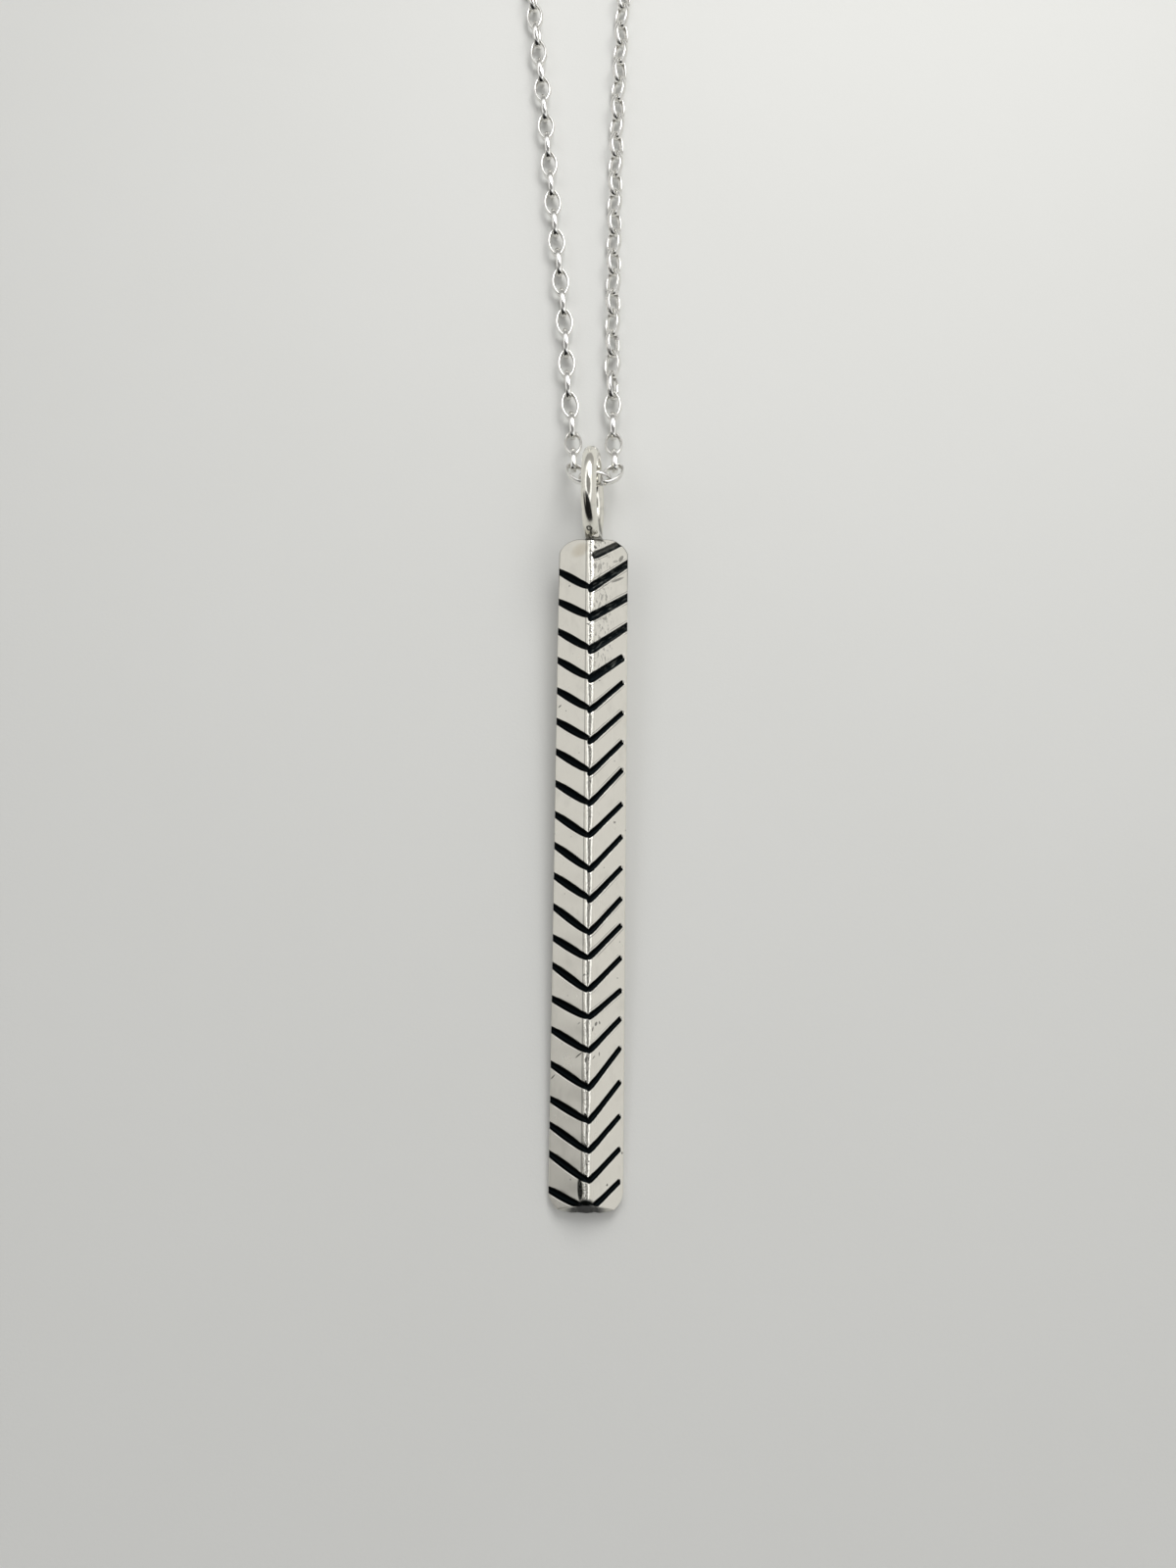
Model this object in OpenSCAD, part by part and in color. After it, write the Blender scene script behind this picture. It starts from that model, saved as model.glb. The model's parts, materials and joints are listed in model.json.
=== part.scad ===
// Silver bar pendant of triangular section with a bail ring and a belcher chain, lying on a table.
// Millimetres. The table is z = 0, the bar runs along +Y and its ridge looks up.
// The ring lifts the top end of the bar, so the bar leans back by a few degrees.

/* [Bar] */
// Length of the bar's back from the bottom end to the top end
bar_len = 47.3; // [30:0.1:70]
// Width of the bar across its flat back
bar_w = 5; // [4:0.1:8]
// Height of the bar from its back to the ridge
bar_h = 1.8; // [1.3:0.1:3]
// Height of the narrow upright edge on both long sides
edge_h = 0.35; // [0.25:0.05:0.6]
// Width of the worn flat along the ridge
ridge_w = 0.4; // [0.2:0.05:0.8]
// Radius of the two corners at the top end
top_corner_r = 1.7; // [0.6:0.05:2]
// Radius of the two corners at the bottom end
bottom_corner_r = 1.6; // [0.6:0.1:2]
// Lean of the rounded wall at the top end, from upright
top_lean = 21; // [5:1:30]
// Lean of the filed face at the bottom end, from upright
bottom_lean = 27; // [5:1:40]

/* [Grooves] */
// Width of each groove filed in the left face
left_groove_w = 0.44; // [0.2:0.01:0.5]
// Width of each groove filed in the right face
right_groove_w = 0.38; // [0.2:0.01:0.5]
// Width of the broad grooves at the top of the right face
broad_groove_w = 0.57; // [0.3:0.01:0.6]
// How many grooves at the top of the right face are broad
broad_grooves = 5; // [0:1:8]
// How many grooves at the top of the right face run out over the edge
run_out_grooves = 4; // [0:1:8]
// Depth of each groove, square to its face
groove_depth = 0.22; // [0.1:0.01:0.24]
// Mean distance between grooves along the bar
groove_pitch = 2.14; // [1.6:0.02:3]

/* [Bail ring] */
// Outside diameter of the ring
ring_od = 7; // [6.2:0.1:7.5]
// Thickness of the ring's round wire
ring_wire = 1.1; // [0.9:0.05:1.15]
// How far the ring leans to the left
ring_lean = 6; // [4:1:8]
// Height of the ring's centre above the back of the bar
ring_rise = 1; // [0.6:0.1:1.4]

/* [Chain] */
// Length of the whole necklace loop, with its clasp
chain_len = 457; // [400:1:610]
// Outside length of a link
link_len = 2.45; // [2.41:0.04:2.53]
// Outside width of a link
link_w = 1.4; // [1.36:0.04:1.44]
// Thickness of the link's domed strip, seen face on
strip_t = 0.2; // [0.16:0.01:0.21]
// Width of the link's domed strip, seen edge on
strip_w = 0.36; // [0.3:0.02:0.38]
// Real links in each strand, beyond the two nearest the ring
front_links = 27; // [8:1:30]

/* [Clasp] */
// Outside diameter of the clasp's ring
clasp_od = 6; // [5:0.1:8]
// Thickness of the clasp's ring
clasp_wire = 0.8; // [0.6:0.05:0.9]
// Outside diameter of the eye on the clasp
eye_od = 2.8; // [2.4:0.1:3.4]

/* [Hidden] */
$fn = 48;
X = 0;
Y = 1;
Z = 2;

// Bar: half sizes, and the angle of the two faces from level
half_w = bar_w / 2;
half_ridge = ridge_w / 2;
face_angle = atan((bar_h - edge_h) / (half_w - half_ridge));

// Bar's outline: radius of the bow at the bottom end, how far the corner circles stand out past
// the sides at either end and past the bow, how far in from the bow the bottom end's filed face
// starts, and spare length
bottom_bow_r = 5.5;
corner_out = 0.03;
top_corner_out = 0.15;
corner_down = 0.01;
bottom_face_in = 0.03;
spare = 1;

// Ring: its centre in the bar's own frame, and the lean of the bar that sets both on the table
ring_mid_r = (ring_od - ring_wire) / 2;
ring_sunk = 0.55;
ring_x = -0.12;
ring_y = bar_len + ring_od / 2 - ring_sunk;
ring_low = ring_mid_r * cos(ring_lean) + ring_wire / 2;
bar_tilt = asin(ring_low / norm([ring_y, ring_rise])) - atan(ring_rise / ring_y);

// Solder: the collar round the ring's foot, the bead above it, and how far each is from the end
collar_len = 0.75;
collar_sunk = 0.3;
collar_foot_r = 0.9;
collar_tip_r = 0.42;
bead_r = 0.34;
bead_rise = 0.55;
bead_out = 0.3;
function end_at(z) = bar_len - z * tan(top_lean);

// Grooves filed by hand, from the top down. Each row holds how far the left groove strays from the
// even pitch and how steeply it climbs to the long edge, then the same of the right groove.
// The first groove is on the right face only, so its left climb is zero.
LEFT_STRAY = 0;
LEFT_CLIMB = 1;
RIGHT_STRAY = 2;
RIGHT_CLIMB = 3;
grooves = [
  [0, 0, 0.24, 36.4], [0.15, 37.9, 0.14, 42], [0.17, 34.9, 0.07, 37.5], [-0.05, 37.4, -0.17, 40.3],
  [-0.03, 36.9, -0.13, 40.4], [-0.12, 36.6, -0.23, 46.1], [-0.14, 35, -0.34, 46.7],
  [-0.24, 35.4, -0.42, 48], [-0.37, 35, -0.42, 49.6], [-0.51, 36.3, -0.5, 47.4],
  [-0.6, 36.9, -0.76, 48.8], [-0.47, 34.7, -0.71, 47.6], [-0.63, 37.2, -0.75, 48.5],
  [-0.29, 31.1, -0.28, 46.1], [-0.26, 34.9, -0.3, 45.7], [0.07, 26.2, -0.01, 40.5],
  [0.02, 28.6, -0.08, 45.3], [-0.2, 29.8, -0.37, 51.3], [-0.2, 26.2, -0.36, 50.2],
  [0.04, 30.3, -0.14, 46.4], [0.31, 30.2, 0.09, 43.3], [0.74, 21, 0.7, 40.3]
];
first_groove = bar_len - 2.2;

// Each groove's place along the bar is taken at its anchor. Its inner end is rounded about its
// start: the left ones start short of the ridge, each nearer to it than the one above, and the
// right ones on the ridge, each further out. The last pair is anchored further out, beside the
// end's filed face. Left grooves run out over the edge and most right ones stop inside it. All are
// measured from the middle of the bar.
left_anchor = 0.5;
left_anchor_creep = 0.013;
right_anchor_creep = 0.009;
last_anchor = 0.62;
left_start = 0.57;
left_start_creep = 0.023;
right_start = -0.1;
right_start_creep = 0.02;
last_start = 0.55;
inside_edge = half_w - 0.28;
over_edge = half_w + 0.5;
groove_rise = 0.7;
groove_end_extra = 0.004;

// Link: four arcs that meet on lines sloping by three to four, so the centre of an end is three
// units out and that of a side four down. The strip's section is a lens of two equal arcs.
unit = (link_len - link_w) / 4;
end_r = (link_w - strip_t) / 2 - unit;
side_r = end_r + 5 * unit;
dome_r = (pow(strip_w / 2, 2) + pow(strip_t / 2, 2)) / strip_t;

// Chain: even spacing of the joints, which leaves each link clear of the next
link_clear = 0.26;
link_pitch = link_len - 2 * strip_t - link_clear;
link_reach = (link_len - link_pitch) / 2;
floor_clear = 0.02;
lie_z = link_w / 2 + floor_clear;

// The chain's places are measured along Y from the middle of the ring's far side
hang_y = ring_y * cos(bar_tilt) - ring_rise * sin(bar_tilt) + ring_mid_r;

// Links that turn through the ring, left to right: x, y, z, heading, climb and roll of each
HEADING = 3;
CLIMB = 4;
TURN_ROLL = 5;
turning = [
  [-1.60, 0.67, 1.92, 91.5, -25.5, 91],
  [-1.27, -0.78, 2.57, 127, -19.5, 14],
  [0.02, -1.17, 2.74, 0, 0, 66],
  [1.30, -0.78, 2.59, 53, -19.5, -14],
  [1.48, 0.67, 1.92, 92.5, -26, 91]
];

// Routes of the two strands from there on: x, y, z and the roll of the links
ROLL = 3;
left_seen = [
  [-1.61, 1.47, 1.58, 90], [-1.66, 2.50, 1.21, 90], [-1.74, 4.00, 0.93, 90], [-1.88, 5.60, 0.74, 90],
  [-2.16, 7.50, lie_z, 90], [-2.40, 12.00, lie_z, 90], [-2.90, 17.00, lie_z, 90],
  [-3.75, 25.00, lie_z, 88], [-4.45, 32.50, lie_z, 84], [-5.10, 38.50, lie_z, 76],
  [-5.70, 43.50, lie_z, 68]
];
right_seen = [
  [1.43, 1.47, 1.58, 90], [1.41, 2.50, 1.21, 88], [1.38, 4.00, 0.93, 82], [1.34, 5.60, 0.74, 72],
  [1.31, 7.50, lie_z, 58], [1.28, 12.00, lie_z, 45], [1.31, 17.00, lie_z, 45],
  [1.38, 25.00, lie_z, 45], [1.55, 33.00, lie_z, 45], [1.76, 38.50, lie_z, 45],
  [1.95, 43.50, lie_z, 45]
];
left_hidden = [
  [-7.6, 56.5], [-11.6, 72.5], [-18.5, 90.5], [-27.5, 108.5], [-36, 126.5], [-41, 144.5],
  [-41, 161.5], [-35, 175.5], [-24, 185], [-12, 189], [-2, 190]
];
right_hidden = [
  [2.9, 56.5], [6.2, 72.5], [13, 90.5], [22.5, 108.5], [31.5, 126.5], [37, 144.5],
  [37.2, 161.5], [31.2, 175.5], [20, 185], [8, 189], [-2, 190]
];
hidden_roll = 45;

// A smooth curve through the points, the middle one of three shared by neighbouring stretches
function bend(a, b, c, d, t) =
  0.5 * (2 * b + (c - a) * t + (2 * a - 5 * b + 4 * c - d) * t * t + (3 * b - a - 3 * c + d) * t * t * t);
function at(p, i) = p[max(0, min(len(p) - 1, i))];
function smooth(p, steps) = concat(
  [
    for (i = [0 : len(p) - 2], k = [0 : steps - 1])
      bend(at(p, i - 1), p[i], p[i + 1], at(p, i + 2), k / steps)
  ],
  [p[len(p) - 1]]
);
function place(q) = [q[X], q[Y], q[Z]];
function run(q, i = 0, sum = 0) =
  i + 1 >= len(q) ? sum : run(q, i + 1, sum + norm(place(q[i + 1]) - place(q[i])));

// The hidden stretch grows or shrinks about one point until the loop has its whole length. The
// routes are cut in coarse steps while the length is sought and in fine ones for the links.
grow_from = [-1.9, 43.5];
coarse_steps = 8;
fine_steps = 24;
function grown(h, k) = grow_from + (h - grow_from) * k;
function whole(seen, hidden, k) =
  concat(seen, [for (h = hidden) concat(grown(h, k), [lie_z, hidden_roll])]);
function strand(seen, hidden, k, steps) = smooth(whole(seen, hidden, k), steps);
turn_len = run(concat([left_seen[0]], turning, [right_seen[0]]));
function strand_len(seen, hidden, k) = run(strand(seen, hidden, k, coarse_steps));
function loop_len(k) =
  strand_len(left_seen, left_hidden, k) + strand_len(right_seen, right_hidden, k) + turn_len;
function nearer(k, step) =
  k + (chain_len - loop_len(k)) / (loop_len(k + step) - loop_len(k)) * step;
grow = nearer(nearer(1, 0.2), 0.1);
left_route = strand(left_seen, left_hidden, grow, fine_steps);
right_route = strand(right_seen, right_hidden, grow, fine_steps);

// Joints between links: each is one pitch from the last, measured straight
function walk(q, n, i = 0, here = undef, out = []) =
  let (p = here == undef ? q[0] : here, done = here == undef ? [q[0]] : out)
  (len(done) > n || i + 1 >= len(q)) ? done :
  let (d0 = norm(place(q[i]) - place(p)), d1 = norm(place(q[i + 1]) - place(p)))
  d1 < link_pitch ? walk(q, n, i + 1, p, done) :
  let (t = (link_pitch - d0) / (d1 - d0), w = q[i] + (q[i + 1] - q[i]) * max(0, t))
  walk(q, n, i, w, concat(done, [w]));
left_joints = walk(left_route, front_links);
right_joints = walk(right_route, front_links);

// The middle of the whole thing goes over the origin
clasp_at = place(left_route[len(left_route) - 1]);
edge_left = min([for (q = left_route) q[X]]) - link_w / 2;
edge_right = max([for (q = right_route) q[X]]) + link_w / 2;
edge_far = hang_y + clasp_at[Y] + clasp_od / 2;
shift = [-(edge_left + edge_right) / 2, -edge_far / 2, 0];
chain_shift = shift + [0, hang_y, 0];

// Back of the loop: sides and rings of each tube, and the gap at its two ends
tube_sides = 8;
tube_rings = 38;
tube_gap = 0.15;

// Clasp: thickness of the eye's wire, and how deep the eye is sunk in the ring
eye_wire = 0.6;
eye_sunk = 0.5;

// Outline of the bar seen from above: a bowed bottom end whose corner circles run on from the bow
module bar_outline() {
  corner_x = half_w - bottom_corner_r + corner_out;
  between = bottom_bow_r - bottom_corner_r;
  low_y = bottom_bow_r - sqrt(pow(between, 2) - pow(corner_x, 2)) - corner_down;
  touch_x = corner_x * bottom_bow_r / between;
  intersection() {
    translate([-half_w, -spare]) square([bar_w, bar_len + 2 * spare]);
    union() {
      translate([-half_w - spare, low_y]) square([bar_w + 2 * spare, bar_len]);
      for (s = [-1, 1])
        translate([s * corner_x, low_y]) circle(r = bottom_corner_r);
      translate([-touch_x, -spare]) square([2 * touch_x, 4 * spare]);
    }
    union() {
      translate([0, bottom_bow_r]) circle(r = bottom_bow_r);
      translate([-bar_w, 3 * spare]) square([2 * bar_w, bar_len]);
    }
  }
}

// What is filed off beyond the top end, seen along its leaning wall: all but two rounded corners
// and the straight stretch between them
module beyond_top() {
  corner_x = half_w - top_corner_r + top_corner_out;
  difference() {
    translate([-bar_w, -top_corner_r]) square([2 * bar_w, bar_w + top_corner_r]);
    translate([-corner_x, -top_corner_r - spare]) square([2 * corner_x, top_corner_r + spare]);
    for (s = [-1, 1])
      translate([s * corner_x, -top_corner_r]) circle(r = top_corner_r);
  }
}

// Bar without grooves: the triangular section cut to the outline, its two ends filed back
module bar_blank() {
  difference() {
    intersection() {
      linear_extrude(bar_h + spare) bar_outline();
      translate([0, bar_len + spare, 0]) rotate([90, 0, 0]) linear_extrude(bar_len + 2 * spare)
        polygon([
          [-half_w, 0], [half_w, 0], [half_w, edge_h],
          [half_ridge, bar_h], [-half_ridge, bar_h], [-half_w, edge_h]
        ]);
    }
    translate([-bar_w, bottom_face_in, 0]) rotate([-bottom_lean, 0, 0])
      translate([0, -bar_w, -spare]) cube([2 * bar_w, bar_w, bar_w]);
    translate([0, bar_len, 0]) rotate([top_lean, 0, 0])
      translate([0, 0, -spare]) linear_extrude(bar_w) beyond_top();
  }
}

// One groove with a rounded inner end and a square outer end. The anchor, start and stop are
// distances from the middle of the bar, and the station is the anchor's place along it. The side
// is -1 for the left face and 1 for the right face.
module groove(side, station, climb, anchor, start, stop, w) {
  turn = atan(tan(climb) * cos(face_angle));
  spread = 1 / cos(face_angle) / cos(turn);
  translate([side * half_ridge, station, bar_h]) rotate([0, side * face_angle, 0])
    translate([side * (anchor - half_ridge), 0, -groove_depth])
    rotate([0, 0, side > 0 ? turn : 180 - turn])
      translate([(start - anchor) * spread, 0, 0])
      linear_extrude(groove_depth + groove_rise) {
        circle(r = w / 2 + groove_end_extra);
        translate([0, -w / 2]) square([(stop - start) * spread, w]);
      }
}

// Row k of the grooves on both faces
module groove_pair(k) {
  even = first_groove - k * groove_pitch;
  row = grooves[k];
  last = k == len(grooves) - 1;
  if (row[LEFT_CLIMB] > 0)
    groove(
      -1, even + row[LEFT_STRAY], row[LEFT_CLIMB],
      last ? last_anchor : left_anchor - k * left_anchor_creep,
      last ? last_start : left_start - k * left_start_creep, over_edge, left_groove_w
    );
  groove(
    1, even + row[RIGHT_STRAY], row[RIGHT_CLIMB],
    last ? last_anchor : k * right_anchor_creep, last ? last_start : right_start + k * right_start_creep,
    k < run_out_grooves ? over_edge : inside_edge, k < broad_grooves ? broad_groove_w : right_groove_w
  );
}

// Ring standing across the top end, with the collar and the bead of solder that hold it
module bail_ring() {
  translate([ring_x, ring_y, ring_rise]) rotate([0, -ring_lean, 0]) rotate([0, 90, 0])
    rotate_extrude() translate([ring_mid_r, 0]) circle(d = ring_wire);
  translate([0, end_at(ring_rise) - collar_sunk, ring_rise]) rotate([-90, 0, 0])
    cylinder(h = collar_len, r1 = collar_foot_r, r2 = collar_tip_r);
  bead_z = ring_rise + bead_rise;
  translate([0, end_at(bead_z) + bead_out, bead_z]) sphere(r = bead_r);
}

// Bar, ring and solder in one piece
module pendant_bar() {
  color([0.78, 0.77, 0.74]) translate(shift) rotate([bar_tilt, 0, 0]) difference() {
    union() {
      bar_blank();
      bail_ring();
    }
    for (k = [0 : len(grooves) - 1]) groove_pair(k);
  }
}

// Section of the link's strip, domed outside and inside
module strip() {
  intersection() {
    translate([strip_t / 2 - dome_r, 0]) circle(r = dome_r);
    translate([dome_r - strip_t / 2, 0]) circle(r = dome_r);
  }
}

// One arc of a link, cut from a whole turn of the strip by a wedge
module arc(r, wedge) {
  intersection() {
    rotate_extrude() translate([r, 0]) strip();
    translate([0, 0, -1]) linear_extrude(2) polygon(wedge);
  }
}

// An oval link, its long way along X and its face up
module link() {
  for (s = [0, 180]) rotate([0, 0, s]) {
    translate([3 * unit, 0, 0]) arc(end_r, [[0, 0], [3, -4], [3, 4]]);
    translate([0, -4 * unit, 0]) arc(side_r, [[0, 0], [3, 4], [-3, 4]]);
  }
}

// A link turned about its own length, then pointed along its heading and climb
module link_at(middle, heading, climb, roll) {
  translate(middle) rotate([0, -climb, heading]) rotate([roll, 0, 0]) link();
}
module link_between(a, b, roll) {
  d = b - a;
  link_at((a + b) / 2, atan2(d[Y], d[X]), asin(d[Z] / norm(d)), roll);
}

// The links that turn through the ring and those of both strands beyond them
module chain_front() {
  color([0.82, 0.82, 0.8]) translate(chain_shift) {
    for (t = turning) link_at(place(t), t[HEADING], t[CLIMB], t[TURN_ROLL]);
    for (q = [left_joints, right_joints], i = [1 : front_links])
      link_between(place(q[i - 1]), place(q[i]), q[i - 1][ROLL] + 90 * (i % 2));
  }
}

// Distance run at each point of a route, to look places up by it
function run_to(q, i) = i == 0 ? 0 : norm(place(q[i]) - place(q[i - 1]));
function spread(q) = [
  for (i = 0, s = 0; i < len(q); i = i + 1, s = s + (i < len(q) ? run_to(q, i) : 0)) [s, q[i]]
];
function along(table, s) = [
  lookup(s, [for (r = table) [r[0], r[1][X]]]), lookup(s, [for (r = table) [r[0], r[1][Y]]]), lie_z
];
function run_at(table, y) = lookup(y, [for (r = table) [r[1][Y], r[0]]]);

// A round tube of the chain's width along part of a route
module tube(table, start, stop) {
  mid = [for (i = [0 : tube_rings - 1]) along(table, start + (stop - start) * i / (tube_rings - 1))];
  side = [
    for (i = [0 : tube_rings - 1])
      let (d = at(mid, i + 1) - at(mid, i - 1)) [d[Y], -d[X], 0] / norm(d)
  ];
  points = [
    for (i = [0 : tube_rings - 1], k = [0 : tube_sides - 1])
      let (a = 360 * (k + 0.5) / tube_sides, r = link_w / 2)
      mid[i] + side[i] * r * cos(a) + [0, 0, r * sin(a)]
  ];
  walls = [
    for (i = [0 : tube_rings - 2], k = [0 : tube_sides - 1])
      let (m = (k + 1) % tube_sides, p = i * tube_sides)
      [p + k, p + tube_sides + k, p + tube_sides + m, p + m]
  ];
  first_cap = [for (k = [0 : tube_sides - 1]) k];
  last_cap = [for (k = [tube_sides - 1 : -1 : 0]) (tube_rings - 1) * tube_sides + k];
  polyhedron(points = points, faces = concat(walls, [first_cap, last_cap]));
}

// The rest of one strand, from its last real link to the clasp
module strand_tube(route, joints, stand_off) {
  table = spread(route);
  start = run_at(table, joints[front_links][Y]) + link_reach + tube_gap;
  tube(table, start, table[len(table) - 1][0] - stand_off - tube_gap);
}
module chain_back() {
  color([0.76, 0.76, 0.75]) translate(chain_shift) {
    strand_tube(left_route, left_joints, clasp_od / 2);
    strand_tube(right_route, right_joints, clasp_od / 2 + eye_od - eye_sunk);
  }
}

// Plain closed ring with an eye, lying flat at the far end of the loop
module clasp() {
  color([0.8, 0.8, 0.79])
    translate(chain_shift + [clasp_at[X], clasp_at[Y], clasp_wire / 2]) {
      rotate_extrude() translate([(clasp_od - clasp_wire) / 2, 0]) circle(d = clasp_wire);
      translate([(clasp_od + eye_od) / 2 - eye_sunk, 0, 0])
        rotate_extrude() translate([(eye_od - eye_wire) / 2, 0]) circle(d = eye_wire);
    }
}

pendant_bar();
chain_front();
chain_back();
clasp();
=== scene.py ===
"""Looks of the silver bar pendant: bar, bail ring, solder, belcher chain and clasp on pale paper.

Every piece repeats the sizes of part.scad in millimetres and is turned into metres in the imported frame.
The bar's own frame has x across the bar, y along it from the plain end and z up from its flat back.
"""
import functools
import json
import logging
import math
from dataclasses import dataclass, field
from enum import Enum
from typing import Dict, Iterable, List, Sequence, Tuple, Union

import bpy
import numpy as np
from mathutils import Matrix, Vector


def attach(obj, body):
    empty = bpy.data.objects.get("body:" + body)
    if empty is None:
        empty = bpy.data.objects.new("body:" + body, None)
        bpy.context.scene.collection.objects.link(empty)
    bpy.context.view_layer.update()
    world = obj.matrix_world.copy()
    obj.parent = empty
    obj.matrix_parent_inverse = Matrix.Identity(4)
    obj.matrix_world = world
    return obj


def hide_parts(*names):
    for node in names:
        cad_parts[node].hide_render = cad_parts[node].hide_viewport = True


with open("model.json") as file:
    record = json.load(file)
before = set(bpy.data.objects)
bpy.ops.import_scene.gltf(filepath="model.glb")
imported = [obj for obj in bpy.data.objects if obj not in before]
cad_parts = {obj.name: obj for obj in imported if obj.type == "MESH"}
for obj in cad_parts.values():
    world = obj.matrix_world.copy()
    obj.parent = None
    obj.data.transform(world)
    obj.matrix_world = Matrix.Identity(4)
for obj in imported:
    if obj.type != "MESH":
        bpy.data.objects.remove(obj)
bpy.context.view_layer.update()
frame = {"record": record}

MM = 0.001
LOG = logging.getLogger("pendant")


class Slot(Enum):
    """The record's material slots."""

    BAR = "bar_silver"
    CHAIN = "chain_silver"


class Axis(Enum):
    """The axis of a turn."""

    X = 0
    Y = 1
    Z = 2


def turn(axis: Axis, degrees: float) -> np.ndarray:
    """Makes a turn about one axis.

    Args:
        axis: The axis.
        degrees: The angle, positive from the next axis to the one after it.

    Returns:
        A 3 by 3 matrix.
    """
    a, b = (axis.value + 1) % 3, (axis.value + 2) % 3
    made = np.eye(3)
    made[a, a] = made[b, b] = math.cos(math.radians(degrees))
    made[b, a] = math.sin(math.radians(degrees))
    made[a, b] = -made[b, a]
    return made


def smooth_step(low: float, high: float, value: np.ndarray) -> np.ndarray:
    """Eases from 0 at low to 1 at high: 3 t squared less 2 t cubed."""
    t = np.clip((value - low) / (high - low), 0, 1)
    return t * t * (3 - 2 * t)


@dataclass
class Shape:
    """Points and faces of a mesh in millimetres, with named numbers for each point.

    Attributes:
        points: One row of x, y, z for each point.
        faces: Corner numbers of each face.
        marks: Named arrays with one number for each point, which the materials read.
    """

    points: np.ndarray
    faces: List[Sequence[int]]
    marks: Dict[str, np.ndarray] = field(default_factory=dict)

    def moved(self, turned: np.ndarray, shift: Sequence[float]) -> "Shape":
        """Turns the shape by a 3 by 3 matrix and then shifts it."""
        return Shape(self.points @ turned.T + np.asarray(shift, float), self.faces, self.marks)

    @staticmethod
    def joined(shapes: Iterable["Shape"]) -> "Shape":
        """Puts several shapes with the same marks into one.

        Args:
            shapes: The shapes.

        Returns:
            One shape with all their points and faces.
        """
        shapes = list(shapes)
        starts = np.cumsum([0] + [len(s.points) for s in shapes])
        faces: List[Sequence[int]] = []
        for start, shape in zip(starts, shapes):
            faces.extend((np.asarray(f) + start).tolist() for f in shape.faces)
        marks = {name: np.concatenate([s.marks[name] for s in shapes]) for name in shapes[0].marks}
        return Shape(np.concatenate([s.points for s in shapes]), faces, marks)

    def build(self, name: str) -> bpy.types.Object:
        """Makes the Blender object, in metres and at the origin.

        Args:
            name: The object's name.

        Returns:
            The new object, smooth shaded.
        """
        mesh = bpy.data.meshes.new(name)
        mesh.from_pydata((self.points * MM).tolist(), [], [list(f) for f in self.faces])
        for mark, numbers in self.marks.items():
            layer = mesh.attributes.new(mark, "FLOAT", "POINT")
            layer.data.foreach_set("value", np.asarray(numbers, np.float32))
        mesh.polygons.foreach_set("use_smooth", np.ones(len(mesh.polygons), bool))
        mesh.validate()
        mesh.update()
        piece = bpy.data.objects.new(name, mesh)
        bpy.context.scene.collection.objects.link(piece)
        LOG.info("%s: %d points, %d faces", name, len(mesh.vertices), len(mesh.polygons))
        return piece


def grid_faces(
    rows: int, columns: int, wrap_rows: bool = False, wrap_columns: bool = False
) -> np.ndarray:
    """Lists the four-sided faces of a grid of points numbered row by row.

    Args:
        rows: How many rows of points.
        columns: How many points in a row.
        wrap_rows: Whether the last row joins the first.
        wrap_columns: Whether the last column joins the first.

    Returns:
        One row of four corner numbers for each face.
    """
    r = np.arange(rows if wrap_rows else rows - 1)[:, None]
    c = np.arange(columns if wrap_columns else columns - 1)[None, :]
    r2, c2 = (r + 1) % rows, (c + 1) % columns
    corners = [r * columns + c, r2 * columns + c, r2 * columns + c2, r * columns + c2]
    return np.stack([np.broadcast_to(k, (r.size, c.size)) for k in corners], axis=-1).reshape(-1, 4)


def round_grid(rows: int, columns: int) -> Tuple[np.ndarray, np.ndarray]:
    """Angles of a full turn down the rows and of another along the columns."""
    a, b = (np.linspace(0, 2 * np.pi, k, endpoint=False) for k in (rows, columns))
    return a[:, None], b[None, :]


@dataclass(frozen=True)
class Groove:
    """One filed groove, as a line in the bar's own frame.

    Attributes:
        start: Distance of its inner end from the bar's middle line.
        station: Place of that end along the bar.
        climb: Degrees that it climbs towards the long edge.
        width: Width, or zero where a row of points runs with no groove.
        stop: Distance of its outer end from the middle line.
        tip: Distance from the middle line at which its inner end is cut off.
    """

    start: float
    station: float
    climb: float
    width: float
    stop: float
    tip: float

    @property
    def slope(self) -> float:
        """Rise along the bar for each millimetre outwards."""
        return math.tan(math.radians(self.climb))

    @property
    def at_middle(self) -> float:
        """Where its line meets the bar's middle line."""
        return self.station - self.start * self.slope


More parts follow.
